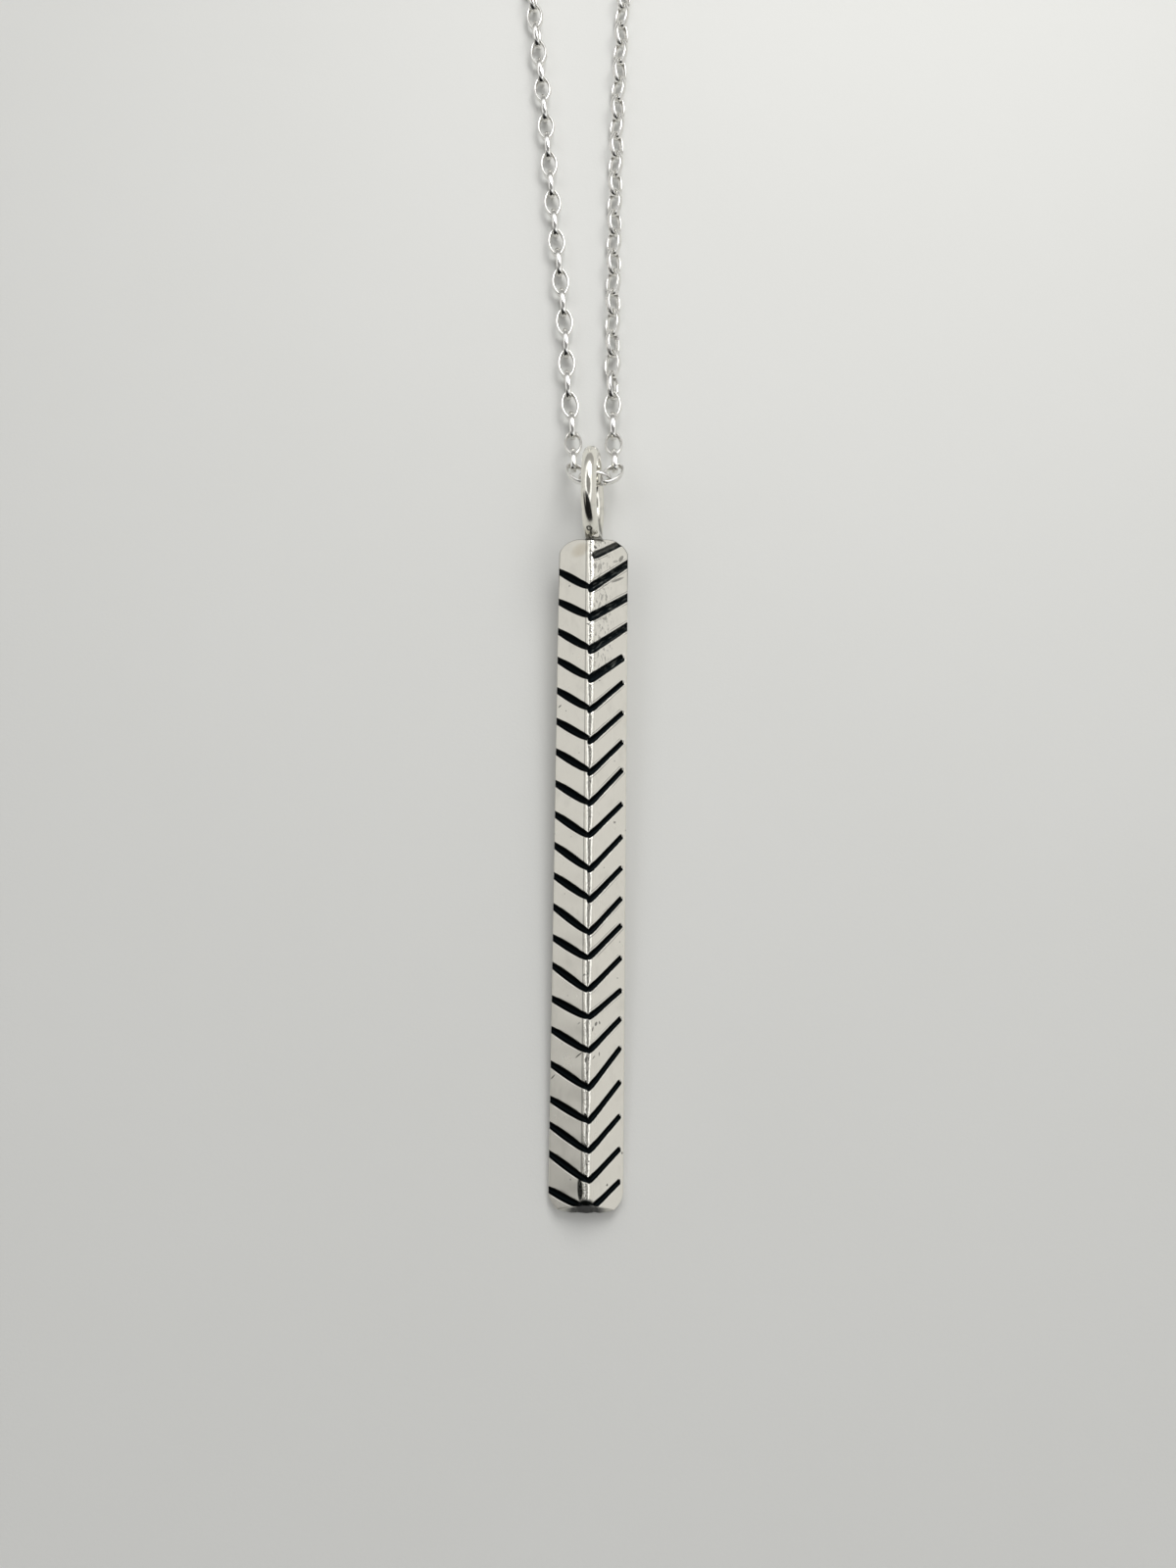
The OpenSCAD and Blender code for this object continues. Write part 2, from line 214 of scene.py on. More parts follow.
@dataclass(frozen=True)
class BarSize:
    """Sizes of the bar, as in part.scad, and the finer forms that only the looks have."""

    length: float = 47.3
    width: float = 5.0
    height: float = 1.8
    edge: float = 0.35
    ridge: float = 0.4
    top_corner: float = 1.7
    bottom_corner: float = 1.6
    top_lean: float = 21.0
    bottom_lean: float = 27.0
    bottom_bow: float = 5.5
    corner_out: float = 0.03
    top_corner_out: float = 0.15
    bottom_face_in: float = 0.03
    left_groove: float = 0.44
    right_groove: float = 0.38
    broad_groove: float = 0.57
    broad_count: int = 5
    run_out_count: int = 4
    depth: float = 0.22
    pitch: float = 2.14
    first_groove_in: float = 2.2
    past_edge: float = 1.0
    stop_in: float = 0.28
    left_start: float = 0.5
    left_creep: float = 0.013
    right_creep: float = 0.009
    last_start: float = 0.62
    left_tip: float = 0.31
    right_tip_back: float = 0.39
    first_tip: float = -0.1
    tip_creep: float = 0.023
    last_tips: Tuple[float, float] = (0.36, 0.4)
    first_narrower: float = 0.1
    bare_climb: float = 20.0
    left_ends: float = 0.86
    left_swell: float = 1.3
    right_inner: float = 1.06
    right_thins: float = 0.2
    bend: float = 0.14
    bend_reach: float = 0.8
    upper_round: float = 0.5
    lower_round: float = 0.3
    past_steepness: float = 4.0
    soft_edge: float = 0.07
    shallow_edge: float = 0.05
    shallowest: float = 0.35
    least_height: float = 0.14
    merge: float = 0.34
    crown: float = 0.29
    crown_least: float = 0.5
    crown_gain: float = 0.6
    crown_power: float = 0.6
    ridge_at_top: float = -0.18
    ridge_at_end: float = 0.06


# How the ridge strays sideways. Each row: distance, wave rate along the bar, start.
RIDGE_WAVES = [(0.012, 1.9, 0), (0.01, 4.3, 1)]
# The mark gap ends this far from a groove, in millimetres
FAR = 0.3
# Each row: left stray from the even pitch, left climb, right stray, right climb. The first has
# no left one.
FILED = [
    (0, 0, 0.24, 36.4), (0.15, 37.9, 0.14, 42), (0.17, 34.9, 0.07, 37.5),
    (-0.05, 37.4, -0.17, 40.3), (-0.03, 36.9, -0.13, 40.4), (-0.12, 36.6, -0.23, 46.1),
    (-0.14, 35, -0.34, 46.7), (-0.24, 35.4, -0.42, 48), (-0.37, 35, -0.42, 49.6),
    (-0.51, 36.3, -0.5, 47.4), (-0.6, 36.9, -0.76, 48.8), (-0.47, 34.7, -0.71, 47.6),
    (-0.63, 37.2, -0.75, 48.5), (-0.29, 31.1, -0.28, 46.1), (-0.26, 34.9, -0.3, 45.7),
    (0.07, 26.2, -0.01, 40.5), (0.02, 28.6, -0.08, 45.3), (-0.2, 29.8, -0.37, 51.3),
    (-0.2, 26.2, -0.36, 50.2), (0.04, 30.3, -0.14, 46.4), (0.31, 30.2, 0.09, 43.3),
    (0.74, 21, 0.7, 40.3),
]


class Bar:
    """The triangular bar: a closed mesh whose rows of points follow the filed grooves."""

    CORNER_STEPS = 400
    SIDE_STEPS = 1200
    # Points of each row: from the ridge, over the face, and close together at the long edge
    NEAR_RIDGE = (0, 0.44, 12)
    ON_FACE = (0.52, 2.0, 15)
    AT_EDGE = (
        2.06, 2.11, 2.15, 2.19, 2.23, 2.27, 2.31, 2.36, 2.405, 2.43, 2.45, 2.468, 2.482, 2.493, 2.5
    )
    # Rows beside a groove's edge and, as a share of its half width, inside it
    BESIDE = (0.1, 0.03, 0, -0.03, -0.07)
    IN_GROOVE = 0.4
    ROWS_BETWEEN = 7
    FAN_ROWS = 12
    FAN_END = 0.93
    FAN_POWER = 2.2
    # How far out the fans of the top and of the plain end reach, and their least way past a groove
    TOP_FAN_OUT = 1.95
    LOW_FAN_OUT = 1.9
    FAN_LEAST = 0.08
    # Least distance between rows, and how many rows from each end keep it
    ROW_GAP = 0.006
    GAP_ROWS = 40
    # Rings of points down the sides, as shares of the height, and how the lowest turn in to the back
    WALL_SHARES = (0.12, 0.3, 0.5, 0.68, 0.8, 0.9, 0.96, 1.0)
    TURN_IN_FROM = 0.9
    TURN_IN = 0.4
    TURN_IN_OUT = 1.5
    TURN_IN_TOP = 44
    TURN_IN_LOW = 2
    BACK_INSET = (0.06, 0.006, 0)
    # The plain end's painted shade on its walls, for the dark reflection of the shaded paper: it fades
    # outwards between these places and reaches so far along
    END_SHADE_OUT = (-1.6, -0.8)
    END_SHADE_TO = 1.1

    def __init__(self, size: BarSize) -> None:
        """Keeps the sizes and works out how steep the faces are.

        Args:
            size: The bar's sizes.
        """
        self.size = size
        self.half = size.width / 2
        self.slope = (size.height - size.edge) / (self.half - size.ridge / 2)

    def grooves(self, side: int) -> List[Groove]:
        """Lists the grooves of one face from the top down.

        Args:
            side: -1 for the left face, 1 for the right face.

        Returns:
            The grooves; the left face's first one has no width.
        """
        s = self.size
        found = []
        for k, (left, left_climb, right, right_climb) in enumerate(FILED):
            even = s.length - s.first_groove_in - k * s.pitch
            last = k == len(FILED) - 1
            stop = self.half + s.past_edge
            if side < 0:
                start = s.last_start if last else s.left_start - s.left_creep * k
                tip = s.last_tips[0] if last else s.left_tip - s.tip_creep * k
                width, climb = (s.left_groove, left_climb) if left_climb else (0, s.bare_climb)
                found.append(Groove(start, even + left, climb, width, stop, tip))
                continue
            start = s.last_start if last else s.right_creep * k
            tip = s.last_tips[1] if last else s.tip_creep * k - s.right_tip_back
            width = s.broad_groove if k < s.broad_count else s.right_groove
            if k == 0:
                tip, width = s.first_tip, width - s.first_narrower
            if k >= s.run_out_count:
                stop = self.half - s.stop_in
            found.append(Groove(start, even + right, right_climb, width, stop, tip))
        return found

    def section(self, across: np.ndarray, along: np.ndarray) -> np.ndarray:
        """Height of the ungrooved top: two slopes that meet in a rounded, worn ridge.

        The height falls with the square of the distance from the ridge's middle as far as the
        crown reaches, and evenly from there to the edge. The crown narrows from each pair of
        grooves down to the next pair.

        Args:
            across: Distance from the middle line.
            along: Distance from the plain end.

        Returns:
            The height above the back.
        """
        s = self.size
        middle = s.ridge_at_end + (s.ridge_at_top - s.ridge_at_end) * along / s.length
        for far, waves, start in RIDGE_WAVES:
            middle = middle + far * np.sin(along * waves + start)
        out = np.abs(across - middle)
        slope = (s.height - s.edge) / (self.half - np.sign(across - middle) * middle - s.crown / 2)
        pairs = np.sort([groove.station for groove in self.grooves(1)])
        number = np.interp(along, pairs, np.arange(len(pairs)))
        way = number - np.floor(number)
        crown = s.crown * (s.crown_least + s.crown_gain * way**s.crown_power)
        crown = np.where((along < pairs[0]) | (along > pairs[-1]), s.crown, crown)
        worn = np.where(out < crown, out**2 / (2 * crown) + crown / 2, out)
        return s.height - slope * (worn - s.crown / 2)

    def top_end(self, across: np.ndarray, height: Union[np.ndarray, float]) -> np.ndarray:
        """Place of the top end's leaning wall, whose outline has two round corners.

        Past the corner circle's middle the wall falls back by one less the root of one less the
        square of the way out, in corner radii.

        Args:
            across: Distance from the middle line.
            height: Height above the back.

        Returns:
            Distance along the bar.
        """
        s = self.size
        lean = math.radians(s.top_lean)
        corner_x = self.half - s.top_corner + s.top_corner_out
        out = np.maximum(np.abs(across) - corner_x, 0) / s.top_corner
        back = s.top_corner * (1 - np.sqrt(np.maximum(1 - out**2, 0)))
        return s.length - np.asarray(height) * math.tan(lean) - back / math.cos(lean)

    def low_end(self, across: np.ndarray, height: Union[np.ndarray, float]) -> np.ndarray:
        """Place of the plain end's wall: the further of its filed face and its bow.

        The bow is a wide arc, and runs on in a corner circle that touches it from inside.

        Args:
            across: Distance from the middle line.
            height: Height above the back.

        Returns:
            Distance along the bar.
        """
        s = self.size
        face = s.bottom_face_in + np.asarray(height) * math.tan(math.radians(s.bottom_lean))
        bow = s.bottom_bow - np.sqrt(np.maximum(s.bottom_bow**2 - across**2, 0))
        corner_x = self.half - s.bottom_corner + s.corner_out
        between = s.bottom_bow - s.bottom_corner
        out = np.abs(across) - corner_x
        lift = np.sqrt(np.maximum(s.bottom_corner**2 - np.maximum(out, 0) ** 2, 0))
        corner = s.bottom_bow - math.sqrt(between**2 - corner_x**2) - lift
        touch_x = corner_x * s.bottom_bow / between
        return np.maximum(face, np.where(np.abs(across) > touch_x, corner, bow))

    def outline(self, side: int) -> np.ndarray:
        """Edge of the top surface on one side, from the middle of the top end to that of the plain end.

        Args:
            side: -1 for left, 1 for right.

        Returns:
            Rows of distance across (always positive) and distance along.
        """
        out = self.half * np.sin(np.linspace(0, np.pi / 2, self.CORNER_STEPS))
        top = self.top_end(side * out, self.section(side * out, np.full_like(out, self.size.length)))
        low = self.low_end(side * out, self.section(side * out, np.zeros_like(out)))
        straight = np.linspace(top[-1], low[-1], self.SIDE_STEPS)[1:-1]
        edge = np.stack([np.full_like(straight, self.half), straight], axis=1)
        return np.concatenate([np.stack([out, top], axis=1), edge, np.stack([out, low], axis=1)[::-1]])

    def columns(self) -> np.ndarray:
        """Shares of the way out at which each row has a point."""
        inner = [np.linspace(*self.NEAR_RIDGE), np.linspace(*self.ON_FACE)]
        return np.concatenate(inner + [self.AT_EDGE]) / self.half

    def rows(self, side: int) -> Tuple[np.ndarray, np.ndarray]:
        """Places the points of one side, row by row from the top end down.

        Args:
            side: -1 for left, 1 for right.

        Returns:
            Distances across (positive) and along, each with one row per row of points.
        """
        edge = self.outline(side)
        run = np.concatenate([[0], np.cumsum(np.hypot(*np.diff(edge, axis=0).T))])
        share = self.columns()
        middles: List[float] = []
        slopes: List[float] = []
        for groove in self.grooves(side):
            half = (groove.width or self.size.right_groove) / 2
            steps = np.array([half + beside for beside in self.BESIDE] + [half * self.IN_GROOVE])
            steps = np.concatenate([steps, -steps[::-1]]) / math.cos(math.radians(groove.climb))
            if middles:
                fade = np.linspace(0, 1, self.ROWS_BETWEEN + 2)[1:-1]
                first = groove.at_middle + steps[0]
                middles.extend(middles[-1] + (first - middles[-1]) * fade)
                slopes.extend(slopes[-1] + (groove.slope - slopes[-1]) * fade)
            middles.extend(groove.at_middle + steps)
            slopes.extend([groove.slope] * len(steps))
        middle, slope = np.asarray(middles)[:, None], np.asarray(slopes)[:, None]
        over = edge[None, :, 1] - middle - slope * edge[None, :, 0]
        under = np.argmax(over < 0, axis=1)
        every = np.arange(len(middles))
        part = over[every, under - 1] / (over[every, under - 1] - over[every, under])
        crossing = run[under - 1] + (run[under] - run[under - 1]) * part
        out = np.interp(crossing, run, edge[:, 0])[:, None] * share[None, :]
        along = middle + slope * out

        def on_edge(place: np.ndarray) -> Tuple[np.ndarray, np.ndarray]:
            """Points of the edge at some distances along it."""
            return np.interp(place, run, edge[:, 0]), np.interp(place, run, edge[:, 1])

        def fan(row: int, to_run: float, from_end: float) -> Tuple[np.ndarray, np.ndarray]:
            """Rows that turn from an outermost groove into the end's own edge.

            Args:
                row: Number of the row they start from.
                to_run: Distance along the edge at which the last of them meets it.
                from_end: Distance along the edge of the end's middle.

            Returns:
                Distances across and along, the last row first.
            """
            end_x, end_y = on_edge(from_end + (to_run - from_end) * share)
            fade = 1 - np.linspace(0, self.FAN_END, self.FAN_ROWS) ** self.FAN_POWER
            rim_x, rim_y = on_edge(crossing[row] + (to_run - crossing[row]) * fade)
            x = out[row] + (end_x - out[row]) * fade[:, None]
            y = along[row] + (end_y - along[row]) * fade[:, None]
            pull = share[None, :] ** 3
            return x + (rim_x[:, None] - x[:, -1:]) * pull, y + (rim_y[:, None] - y[:, -1:]) * pull

        corner = float(run[np.argmax(edge[:, 0] > self.TOP_FAN_OUT)])
        top_x, top_y = fan(0, min(crossing[0] - self.FAN_LEAST, corner), 0.0)
        end_part = edge[::-1, 0][: self.CORNER_STEPS], (run[-1] - run)[::-1][: self.CORNER_STEPS]
        corner = float(run[-1] - np.interp(self.LOW_FAN_OUT, *end_part))
        low_x, low_y = fan(-1, max(crossing[-1] + self.FAN_LEAST, corner), run[-1])
        x = np.concatenate([top_x, out, low_x[::-1]])
        y = np.concatenate([top_y, along, low_y[::-1]])
        apart = self.ROW_GAP * (1 - share**2)
        for row in range(1, self.GAP_ROWS):
            y[row] = np.minimum(y[row], y[row - 1] - apart)
            y[-1 - row] = np.maximum(y[-1 - row], y[-row] + apart)
        return x, y

    def filed(self, side: int, across: np.ndarray, along: np.ndarray) -> Tuple[np.ndarray, np.ndarray]:
        """How deep the grooves of one face are at each point, and how far away the nearest one is.

        A groove's floor is its depth times one less the cube of the distance from its middle line.
        Its inner end is rounded and bends up by the square of the way to its tip. A left groove
        swells in its middle by the way from one end times the way from the other, and a right
        one thins evenly outwards.

        Args:
            side: -1 for left, 1 for right.
            across: Distance from the middle line, signed.
            along: Distance from the plain end.

        Returns:
            Depth, and distance from the nearest groove's edge, below zero inside it.
        """
        s = self.size
        depth, gap = np.zeros_like(across), np.full_like(across, FAR)
        face = 1 / math.cos(math.atan(self.slope))
        for groove in self.grooves(side):
            if not groove.width:
                continue
            x = (across * side - groove.start) * face
            y = along - groove.station
            angle = math.atan(groove.slope / face)
            ahead = x * math.cos(angle) + y * math.sin(angle)
            aside = y * math.cos(angle) - x * math.sin(angle)
            length = (groove.stop - groove.start) * face / math.cos(angle)
            way = np.clip(ahead * math.cos(angle) / face / (self.half - groove.start), 0, 1)
            swell = s.left_ends + s.left_swell * way * (1 - way)
            if side > 0:
                swell = s.right_inner - s.right_thins * way
            half = groove.width / 2 * swell
            inside = (across * side - groove.tip) * face
            aside = aside - s.bend * np.clip(1 - inside / s.bend_reach, 0, 1) ** 2
            rounded = np.where(aside > 0, s.upper_round, s.lower_round)
            short = np.clip(1 - inside / rounded, 0, None) * half
            past = np.maximum(ahead - length, 0) * s.past_steepness
            away = np.hypot(short, np.abs(aside) + past)
            share = np.clip(away / half, 0, 1)
            depth = np.maximum(depth, s.depth * (1 - share**3))
            gap = np.minimum(gap, away - half)
        return depth, gap

    def shape(self) -> Shape:
        """Builds the whole bar.

        Returns:
            The closed shape in the bar's own frame, with the marks gap, painted shade of the plain end's
            walls, rim, across and along.
        """
        s = self.size
        left_x, left_y = self.rows(-1)
        right_x, right_y = self.rows(1)
        middle = (left_y[:, :1] + right_y[:, :1]) / 2
        left_y = left_y + (middle - left_y[:, :1]) * (1 - smooth_step(0, s.merge, left_x))
        right_y = right_y + (middle - right_y[:, :1]) * (1 - smooth_step(0, s.merge, right_x))
        x = np.concatenate([-left_x[:, :0:-1], right_x], axis=1)
        y = np.concatenate([left_y[:, :0:-1], right_y], axis=1)
        high = self.section(x, y)
        inward = 1 - self.columns()
        rim = np.concatenate([left_x[:, -1:] * inward[:0:-1], right_x[:, -1:] * inward], axis=1)
        ends = np.minimum(np.abs(self.top_end(x, high) - y), np.abs(y - self.low_end(x, high)))
        rim = np.minimum(rim, ends)
        near = np.clip(s.soft_edge - rim, 0, s.soft_edge)
        drop = s.soft_edge - np.sqrt(np.maximum(s.soft_edge**2 - near**2, 0))
        left_depth, left_gap = self.filed(-1, x, y)
        right_depth, right_gap = self.filed(1, x, y)
        full = np.clip(rim / s.shallow_edge + s.shallowest, 0, 1)
        depth = np.maximum(left_depth, right_depth) * full / math.cos(math.atan(self.slope))
        gap = np.minimum(left_gap, right_gap)
        z = np.maximum(high - drop - depth, s.least_height)
        top = np.stack([x, y, z], axis=-1).reshape(-1, 3)
        ids = np.arange(x.size).reshape(x.shape)
        loop = np.concatenate([ids[0, ::-1], ids[1:, 0], ids[-1, 1:], ids[-2:0:-1, -1]])
        walls, wall_faces = self.walls(top[loop], loop, len(top))
        points = np.concatenate([top, walls])
        shape = Shape(points, grid_faces(*x.shape).tolist() + wall_faces)
        # Painted shade on the plain end's walls, darkest in their middle, for the dark reflection of the
        # shaded paper
        end_wall_shade = smooth_step(*self.END_SHADE_OUT, -np.abs(walls[:, 0])) * (walls[:, 1] < self.END_SHADE_TO)
        shape.marks = {
            "gap": np.concatenate([gap.reshape(-1), np.full(len(walls), FAR)]),
            "rim": np.concatenate([rim.reshape(-1), np.zeros(len(walls))]),
            "shade_and_stain": np.concatenate([np.zeros(len(top)), end_wall_shade]),
            "across": points[:, 0].copy(),
            "along": points[:, 1].copy(),
        }
        return shape

    def walls(
        self, rim: np.ndarray, loop: np.ndarray, first: int
    ) -> Tuple[np.ndarray, List[Sequence[int]]]:
        """Sides, ends and back under the top surface.

        Args:
            rim: Points of the top surface's edge, in order.
            loop: Their numbers.
            first: Number that the first new point gets.

        Returns:
            New points, and faces that use them.
        """
        x, y, z = rim.T
        upper = y > self.size.length / 2
        inward_x = -np.sign(x) * (np.abs(x) > self.TURN_IN_OUT)
        inward_y = np.where(y > self.TURN_IN_TOP, -1.0, 0) + np.where(y < self.TURN_IN_LOW, 1.0, 0)
        rings = []
        for share in self.WALL_SHARES:
            height = z * (1 - share)
            top_move = self.top_end(x, height) - self.top_end(x, z)
            low_move = self.low_end(x, height) - self.low_end(x, z)
            pull = max(0.0, share - self.TURN_IN_FROM) * self.TURN_IN
            moved = y + np.where(upper, top_move, low_move) + inward_y * pull
            rings.append(np.stack([x + inward_x * pull, moved, height], axis=1))
        centre = np.array([0, self.size.length / 2, 0])
        rings.append(rings[-1] + (centre - rings[-1]) * self.BACK_INSET)
        points = np.concatenate(rings)
        ids = np.concatenate([loop[None, :], first + np.arange(len(points)).reshape(-1, len(rim))])
        after = np.roll(ids, -1, axis=1)
        quads = np.stack([ids[:-1], ids[1:], after[1:], after[:-1]], axis=-1).reshape(-1, 4)
        return points, quads.tolist() + [ids[-1][::-1].tolist()]


@dataclass(frozen=True)
class RingSize:
    """Sizes of the bail ring and of its solder, as in part.scad."""

    outside: float = 7.0
    wire: float = 1.1
    lean: float = 6.0
    rise: float = 1.0
    sunk: float = 0.55
    aside: float = -0.12
    collar_length: float = 0.75
    collar_sunk: float = 0.3
    collar_foot: float = 0.9
    collar_tip: float = 0.42
    bead: float = 0.34
    bead_rise: float = 0.55
    bead_out: float = 0.3
    bead_across: float = 0.36
    least_height: float = 0.15
    collar_power: float = 1.6
    # Painted shade: how dark the collar is made all over, for the shade in the gap between the ring and
    # the bar's end
    collar_shade: float = 0.9
    # Painted shade on the ring's low back limb, for its dark reflection: a line from start to end, then
    # the reach and darkness at the start and what each gains towards the end
    tarnish_and_shade: Tuple[Tuple[float, float, float], ...] = ((0.28, 49.9, -1.37), (0.6, 47.8, -0.45))
    back_limb_shade_reach: Tuple[float, float] = (0.1, 0.25)
    back_limb_shade_strength: Tuple[float, float] = (0.55, 0.35)
    stained_spot: Tuple[float, float, float] = (-0.36, 47.05, 2.6)

    @property
    def middle(self) -> float:
        """Radius of the wire's own middle line."""
        return (self.outside - self.wire) / 2


class Bail:
    """The round-wire ring that stands across the bar's top end, and the solder that holds it."""

    # Points round each shape and round its wire, or along it
    RING_STEPS = (240, 48)
    LUMP_STEPS = (20, 28)
    COLLAR_STEPS = (18, 40)

    def __init__(self, size: RingSize, bar: BarSize) -> None:
        """Keeps the sizes and works out where the ring stands.

        Args:
            size: The ring's sizes.
            bar: The bar's sizes.
        """
        self.size = size
        self.bar = bar
        self.centre = np.array([size.aside, bar.length + size.outside / 2 - size.sunk, size.rise])

    @property
    def tilt(self) -> float:
        """How far the bar leans back, with the ring and the plain end both on the floor.

        Returns:
            The angle in degrees.
        """
        low = self.size.middle * math.cos(math.radians(self.size.lean)) + self.size.wire / 2
        out = math.hypot(self.centre[1], self.centre[2])
        return math.degrees(math.asin(low / out) - math.atan(self.centre[2] / self.centre[1]))

    def ring(self) -> Shape:
        """Builds the ring: a round wire bent round, a little uneven from the pliers.

        The wire's radius strays with two sine waves. A painted shade on the low back limb, for its dark
        reflection, fades with the distance from a line, sooner near the line's start.

        Returns:
            The closed shape in the bar's own frame.
        """
        a, b = round_grid(*self.RING_STEPS)
        wire = self.size.wire / 2 * (1 + 0.012 * np.sin(3 * a + 1) + 0.008 * np.sin(7 * a + 2 * b))
        out = self.size.middle + wire * np.cos(b)
        flat = np.stack([out * np.cos(a), out * np.sin(a), wire * np.sin(b) + 0 * a], axis=-1)
        shape = Shape(flat.reshape(-1, 3), grid_faces(*self.RING_STEPS, True, True).tolist())
        shape = shape.moved(turn(Axis.Y, -self.size.lean) @ turn(Axis.Y, 90), self.centre)
        start, end = (np.asarray(k) for k in self.size.tarnish_and_shade)
        line = end - start
        share = np.clip((shape.points - start) @ line / (line @ line), 0, 1)
        away = np.linalg.norm(shape.points - start - share[:, None] * line, axis=1)
        reach, strength = (
            least + more * share for least, more in (self.size.back_limb_shade_reach, self.size.back_limb_shade_strength)
        )
        # Painted shade: the low back limb darkens near the line
        shape.marks = {"shade_and_stain": (1 - smooth_step(0.0, 1.0, away / reach - 0.5)) * strength}
        return shape

    def lump(self, centre: Sequence[float], radii: Sequence[float], seed: float) -> Shape:
        """Builds a small uneven ball of solder, whose radius strays with two sine waves.

        Args:
            centre: Its middle.
            radii: Its half sizes.
            seed: Shifts its unevenness.

        Returns:
            The closed shape in the bar's own frame.
        """
        rows, about = self.LUMP_STEPS
        a = np.linspace(0, np.pi, rows + 2)[1:-1, None]
        b = round_grid(1, about)[1]
        bump = 1 + 0.05 * np.sin(3 * b + seed) * np.sin(a) + 0.04 * np.cos(4 * a + 2 * b + seed)
        ball = np.stack([np.sin(a) * np.cos(b), np.sin(a) * np.sin(b), np.cos(a) + 0 * b], axis=-1)
        ball = (ball * bump[..., None]).reshape(-1, 3)
        points = np.concatenate([ball, [[0, 0, 1.0], [0, 0, -1.0]]]) * radii + np.asarray(centre)
        faces = grid_faces(rows, about, False, True).tolist()
        north, base = rows * about, (rows - 1) * about
        faces += [[north, k, (k + 1) % about] for k in range(about)]
        faces += [[north + 1, base + (k + 1) % about, base + k] for k in range(about)]
        return Shape(points, faces, {"shade_and_stain": np.zeros(len(points))})

    def solder(self) -> Shape:
        """Builds the collar round the ring's foot and the bead above it.

        The collar's radius falls from its foot to its tip with a power of the way left.

        Returns:
            Two closed shapes in the bar's own frame.
        """
        s = self.size
        lean = math.tan(math.radians(self.bar.top_lean))
        rows, about = self.COLLAR_STEPS
        way = np.linspace(0, 1, rows)[:, None]
        b = round_grid(1, about)[1]
        out = s.collar_tip + (s.collar_foot - s.collar_tip) * (1 - way) ** s.collar_power
        out = out * (1 + 0.05 * np.sin(3 * b + 5 * way) + 0.03 * np.sin(5 * b))
        start = self.bar.length - s.rise * lean - s.collar_sunk
        y = start + s.collar_length * way + 0 * b
        z = np.maximum(s.rise - out * np.sin(b), s.least_height)
        points = np.stack([out * np.cos(b), y, z], axis=-1).reshape(-1, 3)
        faces = grid_faces(rows, about, False, True).tolist()
        faces.append(list(range(about)))
        faces.append(list(range(rows * about - 1, (rows - 1) * about - 1, -1)))
        # Painted shade: the collar is dark all over, for the shade in the gap between the ring and the
        # bar's end
        collar = Shape(points, faces, {"shade_and_stain": np.full(len(points), s.collar_shade)})
        height = s.rise + s.bead_rise
        centre = [0, self.bar.length - height * lean + s.bead_out, height]
        return Shape.joined([collar, self.lump(centre, [s.bead_across, s.bead, s.bead], 0.7)])


@dataclass(frozen=True)
class LinkSize:
    """Sizes of a link: the outside as in part.scad, and the strip as it looks."""

    length: float = 2.45
    width: float = 1.4
    cad_thickness: float = 0.2
    thickness: float = 0.21
    breadth: float = 0.43
    clear: float = 0.26
    floor_clear: float = 0.02
    front_count: int = 27
    most: int = 400
    loop: float = 457.0
    rounding: float = 2.4

    @property
    def pitch(self) -> float:
        """Distance between the joints of the chain."""
        return self.length - 2 * self.cad_thickness - self.clear

    @property
    def lie(self) -> float:
        """Height of the chain's middle line where it lies."""
        return self.width / 2 + self.floor_clear


# Places of the whole chain are measured from the middle of the ring's far side. Most lie at LIE.
# Links through the ring. Each row: x, y, z, heading, climb, roll.
LIE = 0.72
TURNING = [
    (-1.60, 0.67, 1.92, 91.5, -25.5, 91), (-1.27, -0.78, 2.57, 127, -19.5, 14),
    (0.02, -1.17, 2.74, 0, 0, 66),
    (1.30, -0.78, 2.59, 53, -19.5, -14), (1.48, 0.67, 1.92, 92.5, -26, 91),
]
# Each row: x, y, z, roll
LEFT_SEEN = [
    (-1.61, 1.47, 1.58, 90), (-1.66, 2.50, 1.21, 90), (-1.74, 4.00, 0.93, 90), (-1.88, 5.60, 0.74, 90),
    (-2.16, 7.50, LIE, 90), (-2.40, 12.00, LIE, 90), (-2.90, 17.00, LIE, 90), (-3.75, 25.00, LIE, 88),
    (-4.45, 32.50, LIE, 84), (-5.10, 38.50, LIE, 76), (-5.70, 43.50, LIE, 68),
]
RIGHT_SEEN = [
    (1.43, 1.47, 1.58, 90), (1.41, 2.50, 1.21, 88), (1.38, 4.00, 0.93, 82), (1.34, 5.60, 0.74, 72),
    (1.31, 7.50, LIE, 58), (1.28, 12.00, LIE, 45), (1.31, 17.00, LIE, 45), (1.38, 25.00, LIE, 45),
    (1.55, 33.00, LIE, 45), (1.76, 38.50, LIE, 45), (1.95, 43.50, LIE, 45),
]
# Each row: x, y
LEFT_HIDDEN = [
    (-7.6, 56.5), (-11.6, 72.5), (-18.5, 90.5), (-27.5, 108.5), (-36, 126.5), (-41, 144.5),
    (-41, 161.5), (-35, 175.5), (-24, 185), (-12, 189), (-2, 190),
]
RIGHT_HIDDEN = [
    (2.9, 56.5), (6.2, 72.5), (13, 90.5), (22.5, 108.5), (31.5, 126.5), (37, 144.5),
    (37.2, 161.5), (31.2, 175.5), (20, 185), (8, 189), (-2, 190),
]


